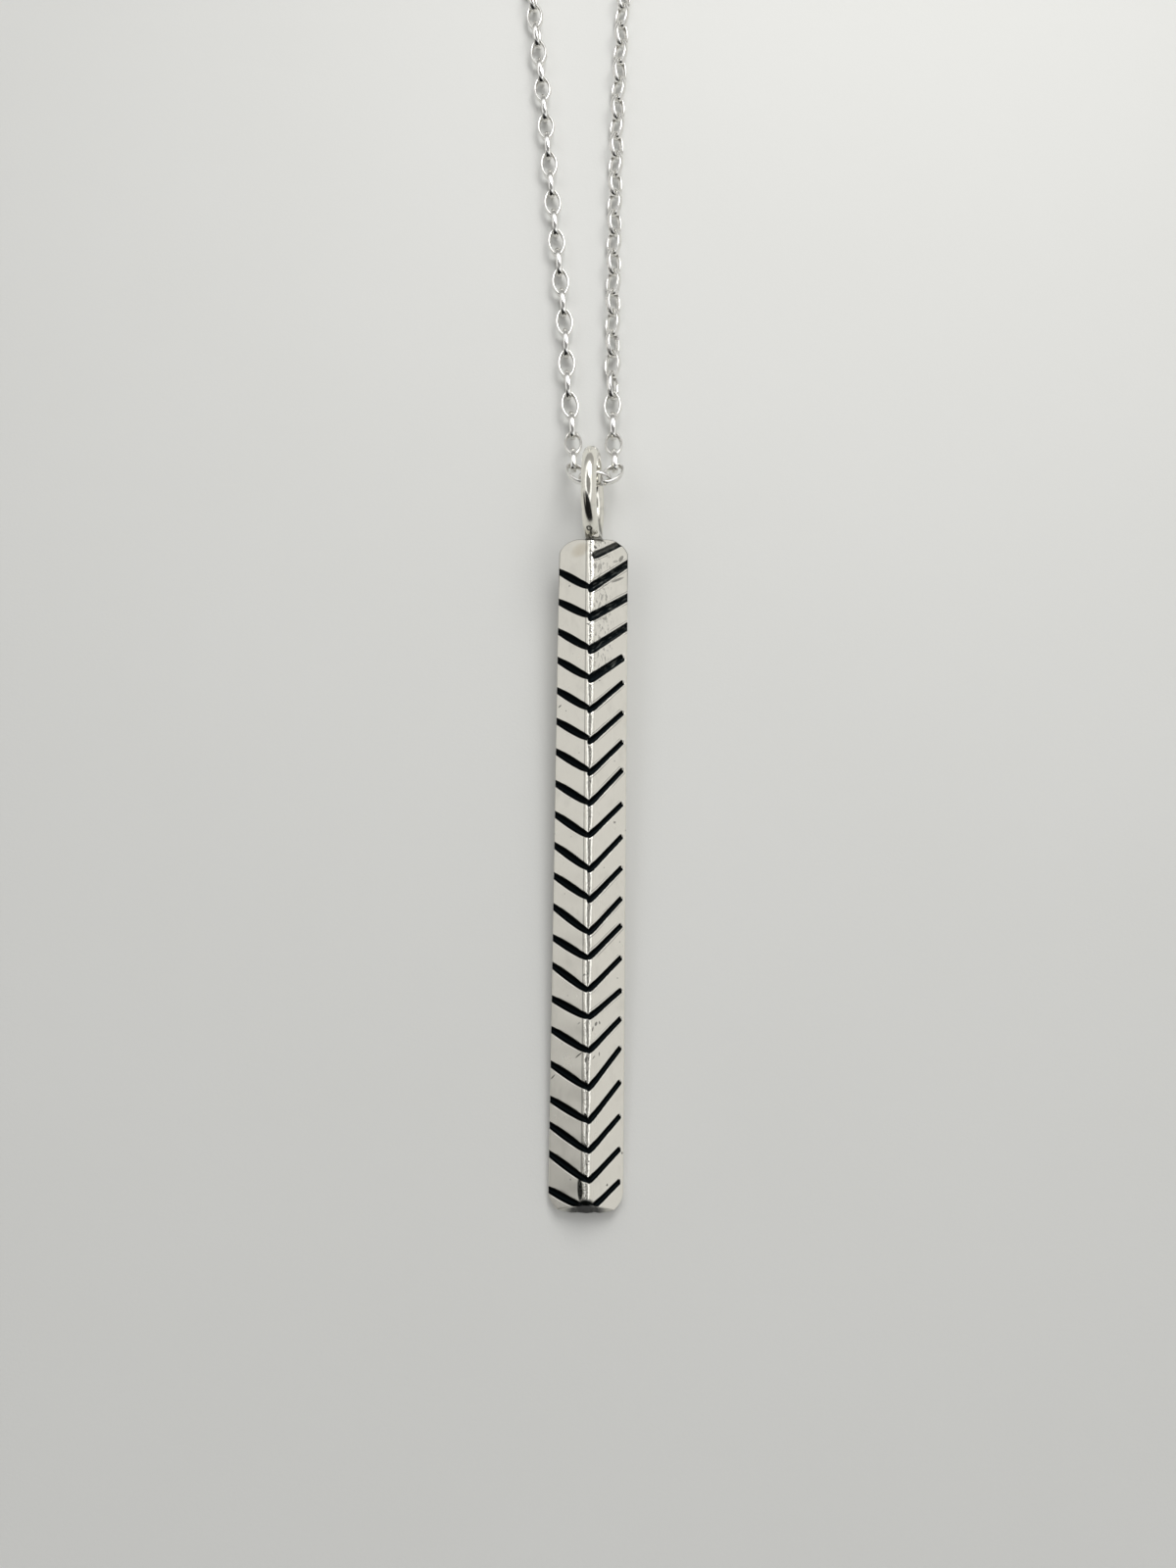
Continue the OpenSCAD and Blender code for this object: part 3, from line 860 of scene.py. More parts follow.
class Chain:
    """The belcher chain: real links round the whole loop, fine ones in front and coarser ones behind."""

    GROW_FROM = np.array([-1.9, 43.5])
    GROW_STEPS = (0.2, 0.1)
    HIDDEN_ROLL = 45.0
    COARSE, FINE = 8, 24
    # Points round a link and round its strip, in front and behind
    FRONT_STEPS = (56, 14)
    BACK_STEPS = (16, 6)
    # How far short of the clasp's middle each strand ends
    CLASP_REACH = (3.4, 5.4)

    def __init__(self, size: LinkSize) -> None:
        """Works out both routes, grown until the loop has its whole length.

        Args:
            size: The links' sizes.
        """
        self.size = size
        grow = 1.0
        for step in self.GROW_STEPS:
            grow = self.nearer(grow, step)
        self.left, self.right = self.strands(grow, self.FINE)
        LOG.info("chain grows by %.4f to a loop of %.1f mm", grow, self.loop(grow))

    @staticmethod
    def smooth(q: np.ndarray, steps: int) -> np.ndarray:
        """Runs a smooth curve through points, where the middle one of three is shared.

        Args:
            q: The points.
            steps: Points for each stretch.

        Returns:
            The points of the curve.
        """
        before = np.concatenate([q[:1], q[:-2]])
        after = np.concatenate([q[2:], q[-1:]])
        a, b, c, d = (k[:, None, :] for k in (before, q[:-1], q[1:], after))
        t = (np.arange(steps) / steps)[None, :, None]
        square, cube = 2 * a - 5 * b + 4 * c - d, 3 * b - a - 3 * c + d
        curve = 0.5 * (2 * b + (c - a) * t + square * t**2 + cube * t**3)
        return np.concatenate([curve.reshape(-1, q.shape[1]), q[-1:]])

    def strands(self, grow: float, steps: int) -> List[np.ndarray]:
        """Routes of the left and the right strand: x, y, z and roll.

        Args:
            grow: How much the hidden parts grow about one point.
            steps: Points for each stretch.

        Returns:
            The points of each route.
        """
        found = []
        for seen, hidden in ((LEFT_SEEN, LEFT_HIDDEN), (RIGHT_SEEN, RIGHT_HIDDEN)):
            far = self.GROW_FROM + (np.asarray(hidden, float) - self.GROW_FROM) * grow
            rest = np.tile([self.size.lie, self.HIDDEN_ROLL], (len(far), 1))
            points = np.concatenate([np.asarray(seen, float), np.concatenate([far, rest], axis=1)])
            found.append(self.smooth(points, steps))
        return found

    @staticmethod
    def run(q: np.ndarray) -> float:
        """Length of a line through points."""
        return float(np.linalg.norm(np.diff(q[:, :3], axis=0), axis=1).sum())

    def loop(self, grow: float) -> float:
        """Length of the whole loop.

        Args:
            grow: How much its hidden parts grow.

        Returns:
            The length.
        """
        through = [LEFT_SEEN[0][:3]] + [row[:3] for row in TURNING] + [RIGHT_SEEN[0][:3]]
        left, right = self.strands(grow, self.COARSE)
        return self.run(left) + self.run(right) + self.run(np.array(through, float))

    def nearer(self, grow: float, step: float) -> float:
        """One step towards the growth that gives the loop its length."""
        here = self.loop(grow)
        return grow + (self.size.loop - here) / (self.loop(grow + step) - here) * step

    def walk(self, route: np.ndarray, count: int) -> np.ndarray:
        """Places joints along a route, each one pitch from the last, measured straight.

        Args:
            route: Points with x, y, z and roll.
            count: How many joints after the first.

        Returns:
            The joints.
        """
        joints = [route[0]]
        i = 0
        while len(joints) <= count and i + 1 < len(route):
            here = joints[-1]
            d0 = float(np.linalg.norm(route[i][:3] - here[:3]))
            d1 = float(np.linalg.norm(route[i + 1][:3] - here[:3]))
            if d1 < self.size.pitch:
                i += 1
                continue
            t = (self.size.pitch - d0) / (d1 - d0)
            joints.append(route[i] + (route[i + 1] - route[i]) * max(0.0, t))
        return np.array(joints)

    def link(self, around: int, about: int) -> Shape:
        """Builds one oval link, its long way along X and its face up.

        Its middle line is four arcs that meet on lines sloping by three to four. Its section is a
        domed strip: an oblong so rounded that its two shares of the half sizes, each to the
        power of the rounding, add up to one.

        Args:
            around: Points round the link.
            about: Points round the strip.

        Returns:
            The closed shape.
        """
        s = self.size
        unit = (s.length - s.width) / 4
        end_r = (s.width - s.cad_thickness) / 2 - unit
        side_r = end_r + 5 * unit
        wedge = math.atan2(4, 3)
        quarter_end, quarter_side = end_r * wedge, side_r * (math.pi / 2 - wedge)
        whole = 4 * (quarter_end + quarter_side)
        way = (np.arange(around) + 0.5) / around * whole
        second = way > whole / 2
        along = np.where(second, way - whole / 2, way)
        flip = np.where(second, -1.0, 1.0)[:, None]
        parts = [along < quarter_end, along > whole / 2 - quarter_end]
        ends = [along / end_r, np.pi - (whole / 2 - along) / end_r]
        angle = np.select(parts, ends, wedge + (along - quarter_end) / side_r)
        centre_x = np.select(parts, [3 * unit, -3 * unit], 0)
        centre_y = np.select(parts, [0, 0], -4 * unit)
        radius = np.select(parts, [end_r, end_r], side_r)
        normal = np.stack([np.cos(angle), np.sin(angle)], axis=1)
        middle = np.stack([centre_x, centre_y], axis=1) + radius[:, None] * normal
        middle, normal = middle * flip, normal * flip
        b = round_grid(1, about)[1]
        thick, broad = (
            half * np.sign(k) * np.abs(k) ** (2 / s.rounding)
            for half, k in ((s.thickness / 2, np.cos(b)), (s.breadth / 2, np.sin(b)))
        )
        xy = middle[:, None, :] + normal[:, None, :] * thick[..., None]
        points = np.concatenate([xy, np.broadcast_to(broad[..., None], xy.shape[:2] + (1,))], axis=-1)
        return Shape(points.reshape(-1, 3), grid_faces(around, about, True, True).tolist())

    @staticmethod
    def pose(heading: float, climb: float, roll: float) -> np.ndarray:
        """Turn of a link: about its own length, then up, then round."""
        return turn(Axis.Z, heading) @ turn(Axis.Y, -climb) @ turn(Axis.X, roll)

    def between(self, joints: np.ndarray, first: int) -> List[Tuple[np.ndarray, np.ndarray]]:
        """Turn and middle of the link between each two joints.

        Args:
            joints: The joints, with their roll.
            first: Number of the first link, whose odd ones are turned by a quarter.

        Returns:
            A turn and a middle for each link.
        """
        poses = []
        for i in range(1, len(joints)):
            a, b = joints[i - 1], joints[i]
            d = b[:3] - a[:3]
            heading = math.degrees(math.atan2(d[1], d[0]))
            climb = math.degrees(math.asin(d[2] / np.linalg.norm(d)))
            roll = a[3] + 90 * ((first + i - 1) % 2)
            poses.append((self.pose(heading, climb, roll), (a[:3] + b[:3]) / 2))
        return poses

    def laid(self, link: Shape, poses: Sequence[Tuple[np.ndarray, np.ndarray]]) -> Shape:
        """Lays copies of a link.

        Args:
            link: The link.
            poses: Turn and middle of each copy.

        Returns:
            All copies in one shape.
        """
        turns = np.array([t for t, _ in poses])
        middles = np.array([m for _, m in poses])
        points = np.einsum("nij,pj->npi", turns, link.points) + middles[:, None, :]
        starts = np.arange(len(poses)) * len(link.points)
        faces = np.asarray(link.faces)[None, :, :] + starts[:, None, None]
        return Shape(points.reshape(-1, 3), faces.reshape(-1, 4).tolist())

    def front(self) -> Shape:
        """Links through the ring and both strands beyond, as far as part.scad has real ones.

        Returns:
            All of them in one shape.
        """
        poses = [(self.pose(*t[3:]), np.array(t[:3])) for t in TURNING]
        for route in (self.left, self.right):
            poses += self.between(self.walk(route, self.size.front_count), 1)
        return self.laid(self.link(*self.FRONT_STEPS), poses)

    def back(self) -> Shape:
        """Links from there to the clasp, coarser because they are many.

        Returns:
            All of them in one shape.
        """
        poses = []
        for route, reach in zip((self.left, self.right), self.CLASP_REACH):
            away = np.linalg.norm(route[:, :2] - route[-1, :2], axis=1)
            stop = int(np.argmax(away < reach))
            joints = self.walk(route[: stop + 1], self.size.most)
            poses += self.between(joints[self.size.front_count :], self.size.front_count + 1)
        LOG.info("links behind: %d", len(poses))
        return self.laid(self.link(*self.BACK_STEPS), poses)


Number = Union["Value", float]
Colour = Tuple[float, float, float]


class Value:
    """A shader socket that maths can be done with. Each step adds one node."""

    def __init__(self, sheet: "Sheet", socket: bpy.types.NodeSocket) -> None:
        """Wraps an output socket of a sheet, which new nodes go to."""
        self.sheet = sheet
        self.socket = socket

    def maths(self, kind: str, *others: Number) -> "Value":
        """Adds a Math node with this value first."""
        return self.sheet.maths(kind, self, *others)

    def __add__(self, other: Number) -> "Value":
        """This plus the other."""
        return self.maths("ADD", other)

    __radd__ = __add__

    def __sub__(self, other: Number) -> "Value":
        """This less the other."""
        return self.maths("SUBTRACT", other)

    def __rsub__(self, other: Number) -> "Value":
        """The other less this."""
        return self.sheet.maths("SUBTRACT", other, self)

    def __mul__(self, other: Number) -> "Value":
        """This times the other."""
        return self.maths("MULTIPLY", other)

    __rmul__ = __mul__

    def __truediv__(self, other: Number) -> "Value":
        """This over the other."""
        return self.maths("DIVIDE", other)

    def __rtruediv__(self, other: Number) -> "Value":
        """The other over this."""
        return self.sheet.maths("DIVIDE", other, self)

    def __abs__(self) -> "Value":
        """This without its sign."""
        return self.maths("ABSOLUTE")

    def most(self, *others: Number) -> "Value":
        """The largest of this and the others, one after the other."""
        return functools.reduce(lambda found, other: found.maths("MAXIMUM", other), others, self)

    def capped(self) -> "Value":
        """This, but no more than 1."""
        return self.maths("MINIMUM", 1.0)

    def ramp(self, low: float, high: float) -> "Value":
        """Eases from 0 at one value to 1 at another."""
        ends = {"Value": self, "From Min": low, "From Max": high}
        return self.sheet.value("Result", "ShaderNodeMapRange", ends, interpolation_type="SMOOTHSTEP")

    def line(self, at: float, inner: float, outer: float) -> "Value":
        """Is 1 where this is near a value and eases to 0 between two distances from it."""
        return 1 - abs(self - at).ramp(inner, outer)


class Sheet:
    """The node tree of a material or a world."""

    def __init__(self, owner: Union[bpy.types.Material, bpy.types.World]) -> None:
        """Empties the owner's nodes.

        Args:
            owner: The material or world.
        """
        self.owner = owner
        owner.use_nodes = True
        self.tree = owner.node_tree
        self.tree.nodes.clear()
        coordinates = self.node("ShaderNodeTexCoord", {})
        self.here = coordinates.outputs["Object"]
        self.way = coordinates.outputs["Generated"]

    def node(self, kind: str, inputs: Dict, **settings: object) -> bpy.types.Node:
        """Adds any node.

        Args:
            kind: The node's type.
            inputs: What goes to its inputs: values, numbers, colours or sockets.
            settings: Its properties.

        Returns:
            The node.
        """
        made = self.tree.nodes.new(kind)
        for name, setting in settings.items():
            setattr(made, name, setting)
        for name, what in inputs.items():
            socket = made.inputs[name]
            if isinstance(what, Value):
                self.tree.links.new(what.socket, socket)
            elif isinstance(what, bpy.types.NodeSocket):
                self.tree.links.new(what, socket)
            elif isinstance(what, tuple) and len(what) == 3 and len(socket.default_value) == 4:
                socket.default_value = what + (1.0,)
            else:
                socket.default_value = what
        return made

    def value(self, output: Union[str, int], kind: str, inputs: Dict, **settings: object) -> Value:
        """Adds any node and returns one of its outputs."""
        return Value(self, self.node(kind, inputs, **settings).outputs[output])

    def maths(self, kind: str, *inputs: Number) -> Value:
        """Adds a Math node and returns its result."""
        return self.value(0, "ShaderNodeMath", dict(enumerate(inputs)), operation=kind)

    def mark(self, name: str) -> Value:
        """Reads one of the piece's named numbers."""
        settings = {"attribute_name": name, "attribute_type": "GEOMETRY"}
        return self.value("Fac", "ShaderNodeAttribute", {}, **settings)

    def texture(self, place: object, detail: float, rough: float, bend: float = 0.0) -> Value:
        """Noise from 0 to 1, read at a place, one wave for each whole number."""
        inputs = {"Vector": place, "Scale": 1.0, "Detail": detail, "Roughness": rough}
        return self.value("Fac", "ShaderNodeTexNoise", {**inputs, "Distortion": bend})

    def noise(self, scale: Sequence[float], detail: float, rough: float, bend: float = 0.0) -> Value:
        """Noise in space.

        Args:
            scale: Waves for each millimetre along x, y and z.
            detail: Octaves.
            rough: How strong the finer ones are.
            bend: Distortion.

        Returns:
            The noise, from 0 to 1.
        """
        inputs = {0: self.here, 1: tuple(k / MM for k in scale)}
        place = self.value(0, "ShaderNodeVectorMath", inputs, operation="MULTIPLY")
        return self.texture(place, detail, rough, bend)

    def flat_noise(self, x: Value, y: Value, detail: float = 2, rough: float = 0.5) -> Value:
        """Noise over two values."""
        return self.texture(self.value(0, "ShaderNodeCombineXYZ", {"X": x, "Y": y}), detail, rough)

    def distance(self, point: Sequence[float]) -> Value:
        """Distance in millimetres from a point of the frame, given in millimetres."""
        inputs = {0: self.here, 1: tuple(k * MM for k in point)}
        return self.value("Value", "ShaderNodeVectorMath", inputs, operation="DISTANCE") / MM

    def mix(self, share: Number, a: Union[Value, Colour], b: Union[Value, Colour]) -> Value:
        """Mixes a share of the second colour into the first."""
        return self.value(2, "ShaderNodeMix", {"Factor": share, 6: a, 7: b}, data_type="RGBA")

    def bump(self, height: Value, strength: float) -> Value:
        """Turns a height in millimetres into a bump."""
        inputs = {"Height": height, "Strength": strength, "Distance": MM}
        return self.value("Normal", "ShaderNodeBump", inputs)

    def finish(self, **inputs: object) -> bpy.types.Material:
        """Ends the material in one Principled shader.

        Args:
            inputs: Its inputs, with _ for a space.

        Returns:
            The material.
        """
        named = {name.replace("_", " "): what for name, what in inputs.items()}
        shader = self.node("ShaderNodeBsdfPrincipled", named)
        self.node("ShaderNodeOutputMaterial", {0: shader.outputs[0]})
        return self.owner

    def axis(self, which: str) -> Value:
        """One part of the direction that a world's light comes from: X, Y or Z."""
        return self.value(which, "ShaderNodeSeparateXYZ", {0: self.way})


Mark = Tuple[float, float, float, float, float, float]

# Small dark marks. Each row: across, along, half width, half length, lean in degrees, darkness.
MARKS: List[Mark] = [
    (-2.28, 34.6, 0.05, 0.14, -50, 0.75), (-0.6, 10.47, 0.035, 0.3, -48, 0.9),
    (-0.61, 12.57, 0.05, 0.12, -45, 0.35), (0.54, 12.54, 0.08, 0.15, -20, 0.7),
    (0.78, 12.61, 0.05, 0.11, 10, 0.75), (0.33, 12.22, 0.04, 0.17, -8, 0.8),
    (0.78, 10.56, 0.035, 0.14, 0, 0.7), (0.41, 10.35, 0.03, 0.15, -40, 0.7),
    (-2.33, 8.93, 0.03, 0.22, -40, 0.9), (-0.1, 10.2, 0.07, 0.22, 0, 0.8),
    (-1.72, 43.42, 0.06, 0.08, 0, 0.5), (-0.4, 1.9, 0.17, 0.8, 2, 0.95),
    (2.0, 45.6, 0.12, 0.3, -30, 0.6), (1.6, 45.3, 0.22, 0.1, 25, 0.35),
    (0.1, 46.05, 0.16, 0.1, -30, 0.75), (0.62, 42.4, 0.07, 0.25, -12, 0.4),
    (0.95, 42.55, 0.08, 0.16, 15, 0.45), (0.45, 41.8, 0.07, 0.3, -15, 0.35),
    (0.1, 44.65, 0.14, 0.2, 20, 0.45), (0.45, 44.7, 0.14, 0.25, -20, 0.35),
    (1.75, 43.95, 0.09, 0.55, -58, 0.6), (0.9, 43.4, 0.05, 0.2, -55, 0.6),
]


@dataclass(frozen=True)
class BarSilver:
    """Hand-polished silver, warm and slightly hazy, with blackened grooves, scuffs and pits, and with a
    painted shadow line left of the ridge, painted shadow lines beside the right grooves, painted
    highlights along the groove edges and painted shade on the plain end's walls.

    The marks and places are in the bar's own millimetres.
    """

    bright: Colour = (0.87, 0.848, 0.775)
    dull: Colour = (0.6, 0.585, 0.53)
    brown: Colour = (0.6, 0.53, 0.4)
    # Painted highlight along the groove edges
    groove_edge_highlight: Colour = (0.95, 0.94, 0.9)
    black: Colour = (0.004, 0.006, 0.007)
    # Dark colour of the dirt marks and of the painted shade and shadow lines
    soot_and_shade: Colour = (0.006, 0.007, 0.006)
    scuffed: Colour = (0.075, 0.08, 0.075)
    film: Colour = (0.17, 0.17, 0.155)
    crown: float = 0.29
    ridge_at_end: float = 0.06
    ridge_slant: float = -0.0051
    file_across: float = 0.77
    file_along: float = 0.64
    upper: Tuple[float, float] = (36.3, 37.8)
    edge_from: Tuple[float, float] = (41.8, 44.8)
    film_slope: float = 0.737
    film_from: Tuple[float, float] = (45.26, 45.56)
    # Distance of the painted shadow line left of the ridge's middle
    shadow_line_out: float = 0.37
    brown_spot: Mark = (-1.0, 45.95, 0.7, 0.55, 20, 0.9)
    end_spot: Mark = (0.0, 0.65, 0.7, 0.7, 0, 1.0)
    end_bright: Mark = (0.45, 0.72, 0.12, 0.12, 0, 0.6)

    @staticmethod
    def spot(across: Value, along: Value, mark: Mark, inner: float = 0.55, outer: float = 1.25) -> Value:
        """Draws one leaning oval.

        Args:
            across: Distance from the bar's middle line.
            along: Distance from the plain end.
            mark: Middle across and along, half width, half length, lean in degrees, strength.
            inner: Square of the share of the way out at which it starts to fade.
            outer: The same where it ends.

        Returns:
            The strength in its middle and 0 outside.
        """
        x, y, half_width, half_length, lean, strength = mark
        c, s = math.cos(math.radians(lean)), math.sin(math.radians(lean))
        over, up = across - x, along - y
        wide = (over * c + up * s) / half_width
        tall = (up * c - over * s) / half_length
        return (1 - (wide * wide + tall * tall).ramp(inner, outer)) * strength

    def material(self) -> bpy.types.Material:
        """Builds the material.

        Returns:
            The material, which reads the bar's marks.
        """
        s = Sheet(bpy.data.materials.new("bar_silver_worn"))
        gap, rim, shade_and_stain, across, along = map(s.mark, ("gap", "rim", "shade_and_stain", "across", "along"))
        cloud = s.noise((0.9, 0.5, 0.9), 3, 0.6)
        grain = s.noise((9, 2.2, 9), 3, 0.6)
        fine = s.noise((11, 11, 11), 2, 0.6)
        scratch = s.noise((22, 1.1, 22), 2, 0.5, 0.4).ramp(0.66, 0.74)
        right = across.ramp(-0.1, 0.1)

        # Groove floors
        ragged = gap - 0.028 + (fine - 0.5) * 0.05 * right
        black = 1 - ragged.ramp(-0.014, 0.014)
        upper = along.ramp(*self.upper) * right
        run = across * self.file_across + along * self.file_along
        slant = across * -self.file_along + along * self.file_across
        scuff = s.flat_noise(run * 1.6, slant * 9, 3, 0.6).ramp(0.5, 0.66) * upper
        speck = s.flat_noise(across * 7, along * 7, 1).ramp(0.68, 0.74) * across.ramp(1.85, 2.0)
        floor = s.mix(scuff.most(speck * 0.9), self.black, self.scuffed)
        film = (along - across * self.film_slope).ramp(*self.film_from) * right
        floor = s.mix((film * (0.4 + fine * 0.8)).capped(), floor, self.film)

        # Ridge and edges
        ridge = across - (along * self.ridge_slant + self.ridge_at_end)
        worn = 1 - abs(ridge).ramp(self.crown * 0.8, self.crown * 1.15)
        dash = s.flat_noise(ridge * 9, along * 4.5, 2, 0.6).ramp(0.54, 0.64)
        dash = dash * (1 - abs(ridge).ramp(0.06, 0.15))
        # Painted shadow: a thin dark line along the left side of the ridge
        ridge_shadow_line = 1 - abs(ridge + self.shadow_line_out + (grain - 0.5) * 0.04).ramp(0.015, 0.055)
        edge_line = (1 - rim.ramp(0.02, 0.075)) * along.ramp(*self.edge_from) * 0.75
        # Painted shadow: a faint dark line beside each right groove, below it
        beside = 1 - abs(gap - 0.13 - (cloud - 0.5) * 0.1).ramp(0.012, 0.035)
        beside = beside * right * slant.ramp(5, 12)
        beside = beside * s.flat_noise(along * 0.45, along * 0.1, 1).ramp(0.42, 0.55)

        # Dirt, pits and marks, with the painted shade on the plain end's walls and the painted shadow
        # lines
        pit = s.noise((2.6, 2.6, 2.6), 1, 0.5).ramp(0.765, 0.8)
        dirt = s.noise((5, 2.5, 5), 3, 0.7).ramp(0.5, 0.68) * upper * across.ramp(1.7, 0.8) * 0.55
        spots = (self.spot(across, along, mark) for mark in MARKS)
        dark = (pit * 0.7).most(dirt, *spots) * (0.65 + fine * 0.7)
        end = self.spot(across, along, self.end_spot) * fine.ramp(0.16, 0.3)
        end = end * (1 - self.spot(across, along, self.end_bright))
        # Painted shade on the plain end's walls, mottled
        end_wall_shade = shade_and_stain * fine.ramp(0.26, 0.42) * 0.98
        dark = dark.most(ridge_shadow_line * 0.5, dash * 0.6, beside * 0.55, edge_line, end, end_wall_shade)

        # Dull tone at random, away from the worn ridge
        tarnish_and_shade = (cloud.ramp(0.5, 0.75) * 0.25 + grain.ramp(0.55, 0.8) * 0.15) * (1 - worn)
        colour = s.mix(tarnish_and_shade, self.bright, self.dull)
        blotch = self.spot(across, along, self.brown_spot, 0.0) * (0.15 + cloud * 0.8)
        colour = s.mix(blotch, colour, self.brown)
        # Painted highlight: a lighter band along each groove's edge
        colour = s.mix(gap.line(0.075, 0.0, 0.04) * 0.15, colour, self.groove_edge_highlight)
        colour = s.mix(dark.capped(), colour, self.soot_and_shade)
        colour = s.mix(black, colour, floor)
        rough = (0.24 + cloud * 0.1 + scratch * 0.12) * (1 - worn) + worn * 0.09
        rough = rough.most(black * 0.42, dark * 0.4)
        height = grain * 0.004 + scratch * -0.003 + cloud * 0.01 + dark * -0.01 + worn * fine * 0.02
        bump = s.bump(height, 0.6)
        return s.finish(Base_Color=colour, Metallic=1.0, Roughness=rough, Normal=bump)


@dataclass(frozen=True)
class WireSilver:
    """Bright drawn silver wire with fine draw lines and grey clouds; with a solder ring, it also takes
    the painted shade that its piece carries and a dark ring near the solder.
    """

    bright: Colour = (0.86, 0.84, 0.765)
    dull: Colour = (0.45, 0.44, 0.42)
    dark: Colour = (0.03, 0.03, 0.022)
    rough: float = 0.05
    name: str = "wire_silver"
    solder_ring: Tuple[float, ...] = ()

    def material(self) -> bpy.types.Material:
        """Builds the material.

        Returns:
            The material, which only with a solder ring takes painted shade and a dark ring.
        """
        s = Sheet(bpy.data.materials.new(self.name))
        cloud = s.noise((1.4, 1.4, 1.4), 3, 0.6)
        line = s.noise((9, 9, 9), 3, 0.65)
        colour = s.mix(cloud.ramp(0.5, 0.8) * 0.5, self.bright, self.dull)
        rough = self.rough + cloud * 0.12 + line * 0.08
        if self.solder_ring:
            away = s.distance(self.solder_ring) + (line - 0.5) * 0.08
            # Painted shade from the piece's mark, with a dark ring round a spot near the solder
            shade_and_stain = (s.mark("shade_and_stain") * (0.6 + line * 0.6)).most(away.line(0.2, 0.03, 0.09) * 0.9)
            colour = s.mix(shade_and_stain.capped(), colour, self.dark)
            rough = rough + shade_and_stain * 0.3
        bump = s.bump(line * 0.004, 0.5)
        return s.finish(Base_Color=colour, Metallic=1.0, Roughness=rough, Normal=bump)


@dataclass(frozen=True)
class Paper:
    """Smooth pale paper with a very fine tooth."""

    pale: Colour = (0.755, 0.755, 0.735)
    shade: Colour = (0.725, 0.725, 0.7)
    side: float = 0.9
    steps: int = 60
    drop: float = 0.003

    def material(self) -> bpy.types.Material:
        """Builds the material.

        Returns:
            The material.
        """
        s = Sheet(bpy.data.materials.new("pale_paper"))
        tooth = s.noise((5, 5, 5), 4, 0.6)
        cloud = s.noise((0.05, 0.05, 0.05), 3, 0.5)
        colour = s.mix(cloud * 0.7 + tooth * 0.3, self.pale, self.shade)
        bump = s.bump(tooth * 0.02, 0.4)
        return s.finish(Base_Color=colour, Roughness=0.9, Specular_IOR_Level=0.2, Normal=bump)

    def build(self) -> None:
        """Lays the sheet on the floor, a hair under the object."""
        side = np.linspace(-self.side / 2, self.side / 2, self.steps) / MM
        x, y = np.meshgrid(side, side)
        flat = np.stack([x, y, 0 * x - self.drop], axis=-1).reshape(-1, 3)
        paper = Shape(flat, grid_faces(self.steps, self.steps)[:, ::-1].tolist()).build("paper")
        paper.data.materials.append(self.material())


